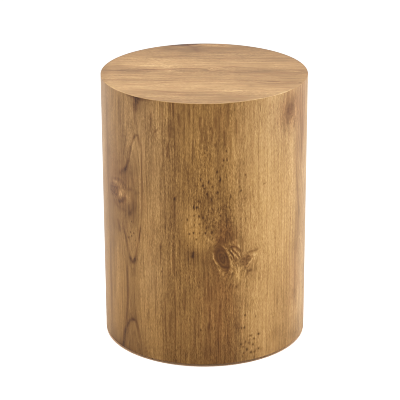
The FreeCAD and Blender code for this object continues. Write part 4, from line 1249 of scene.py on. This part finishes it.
def floorFinish(st):
    # a pale, faintly clouded floor. Where the camera sees it, it is made paler by the foot and darker further
    # out, so that it is evenly just white, and the thin line of its upper face that shows under the drum
    # is painted the wood's brown, as painted shade standing in for the shadow in the gap under the drum
    material, tree, shader = newFinish("floor")
    place = addNode(tree, "TexCoord").outputs["Object"]
    cloud = noiseAt(tree, place, (st["floorClouds"],) * 3, 3)
    pale = mixed(tree, calc(tree, "ADD", cloud, 0.5), *[linear(colour) for colour in st["floorColours"]])
    look = st["seen"]
    away = addNode(tree, "VectorMath", {0: place}, operation="LENGTH").outputs["Value"]
    near, far = between(tree, away, look["near"]), between(tree, away, look["far"])
    fall = calc(tree, "POWER", near, look["power"])
    lift = calc(tree, "ADD", addUp(tree, [(fall, -look["drop"]), (far, look["rise"])]), look["lift"])
    seen = addNode(tree, "LightPath").outputs["Is Camera Ray"]
    lift = calc(tree, "MULTIPLY_ADD", lift, seen, 1.0)
    shown = addNode(tree, "VectorMath", {0: pale, "Scale": lift}, operation="SCALE").outputs[0]
    below = addNode(tree, "NewGeometry").outputs["Backfacing"]
    # painted shade: the floor seen in the gap under the drum is painted brown
    under = between(tree, away, st["paintedShadeReach"])
    share = product(tree, calc(tree, "SUBTRACT", seen, below), under)
    tree.links.new(mixed(tree, share, shown, linear(st["paintedShadeUnderDrum"])), shader.inputs["Base Color"])
    shader.inputs["Roughness"].default_value = st["floorRoughness"]
    shader.inputs["Specular IOR Level"].default_value = st["floorSpecular"]
    return material


def buildFloor(st):
    # a round plate: radius * (cos t, sin t)
    turn = np.linspace(0, 2 * np.pi, st["floorSides"] + 1)[:-1]
    rim = np.column_stack([st["floorRadius"] * np.cos(turn), st["floorRadius"] * np.sin(turn), 0 * turn])
    mesh = bpy.data.meshes.new("floor")
    mesh.from_pydata(rim.tolist(), [], [list(range(len(rim)))])
    mesh.materials.append(floorFinish(st))
    floor = bpy.data.objects.new("floor", mesh)
    bpy.context.scene.collection.objects.link(floor)
    return floor


def buildSurround(st):
    # lights the table with strength sky, and is plain white where the camera sees it
    world = bpy.data.worlds.new("surround")
    world.use_nodes = True
    tree = world.node_tree
    backdrop = tree.nodes["Background"]
    backdrop.inputs["Color"].default_value = (1, 1, 1, 1)
    seen = addNode(tree, "LightPath").outputs["Is Camera Ray"]
    tree.links.new(calc(tree, "MULTIPLY_ADD", seen, 1 - st["sky"], st["sky"]), backdrop.inputs["Strength"])
    bpy.context.scene.world = world


floor = buildFloor(studio)
buildSurround(studio)
for lamp in studio["lamps"]:
    addLamp(*lamp, studio["middle"])
bpy.context.scene.view_settings.view_transform = "Standard"
bpy.context.scene.cycles.filter_width = studio["pixelBlur"]
print("studio lit")
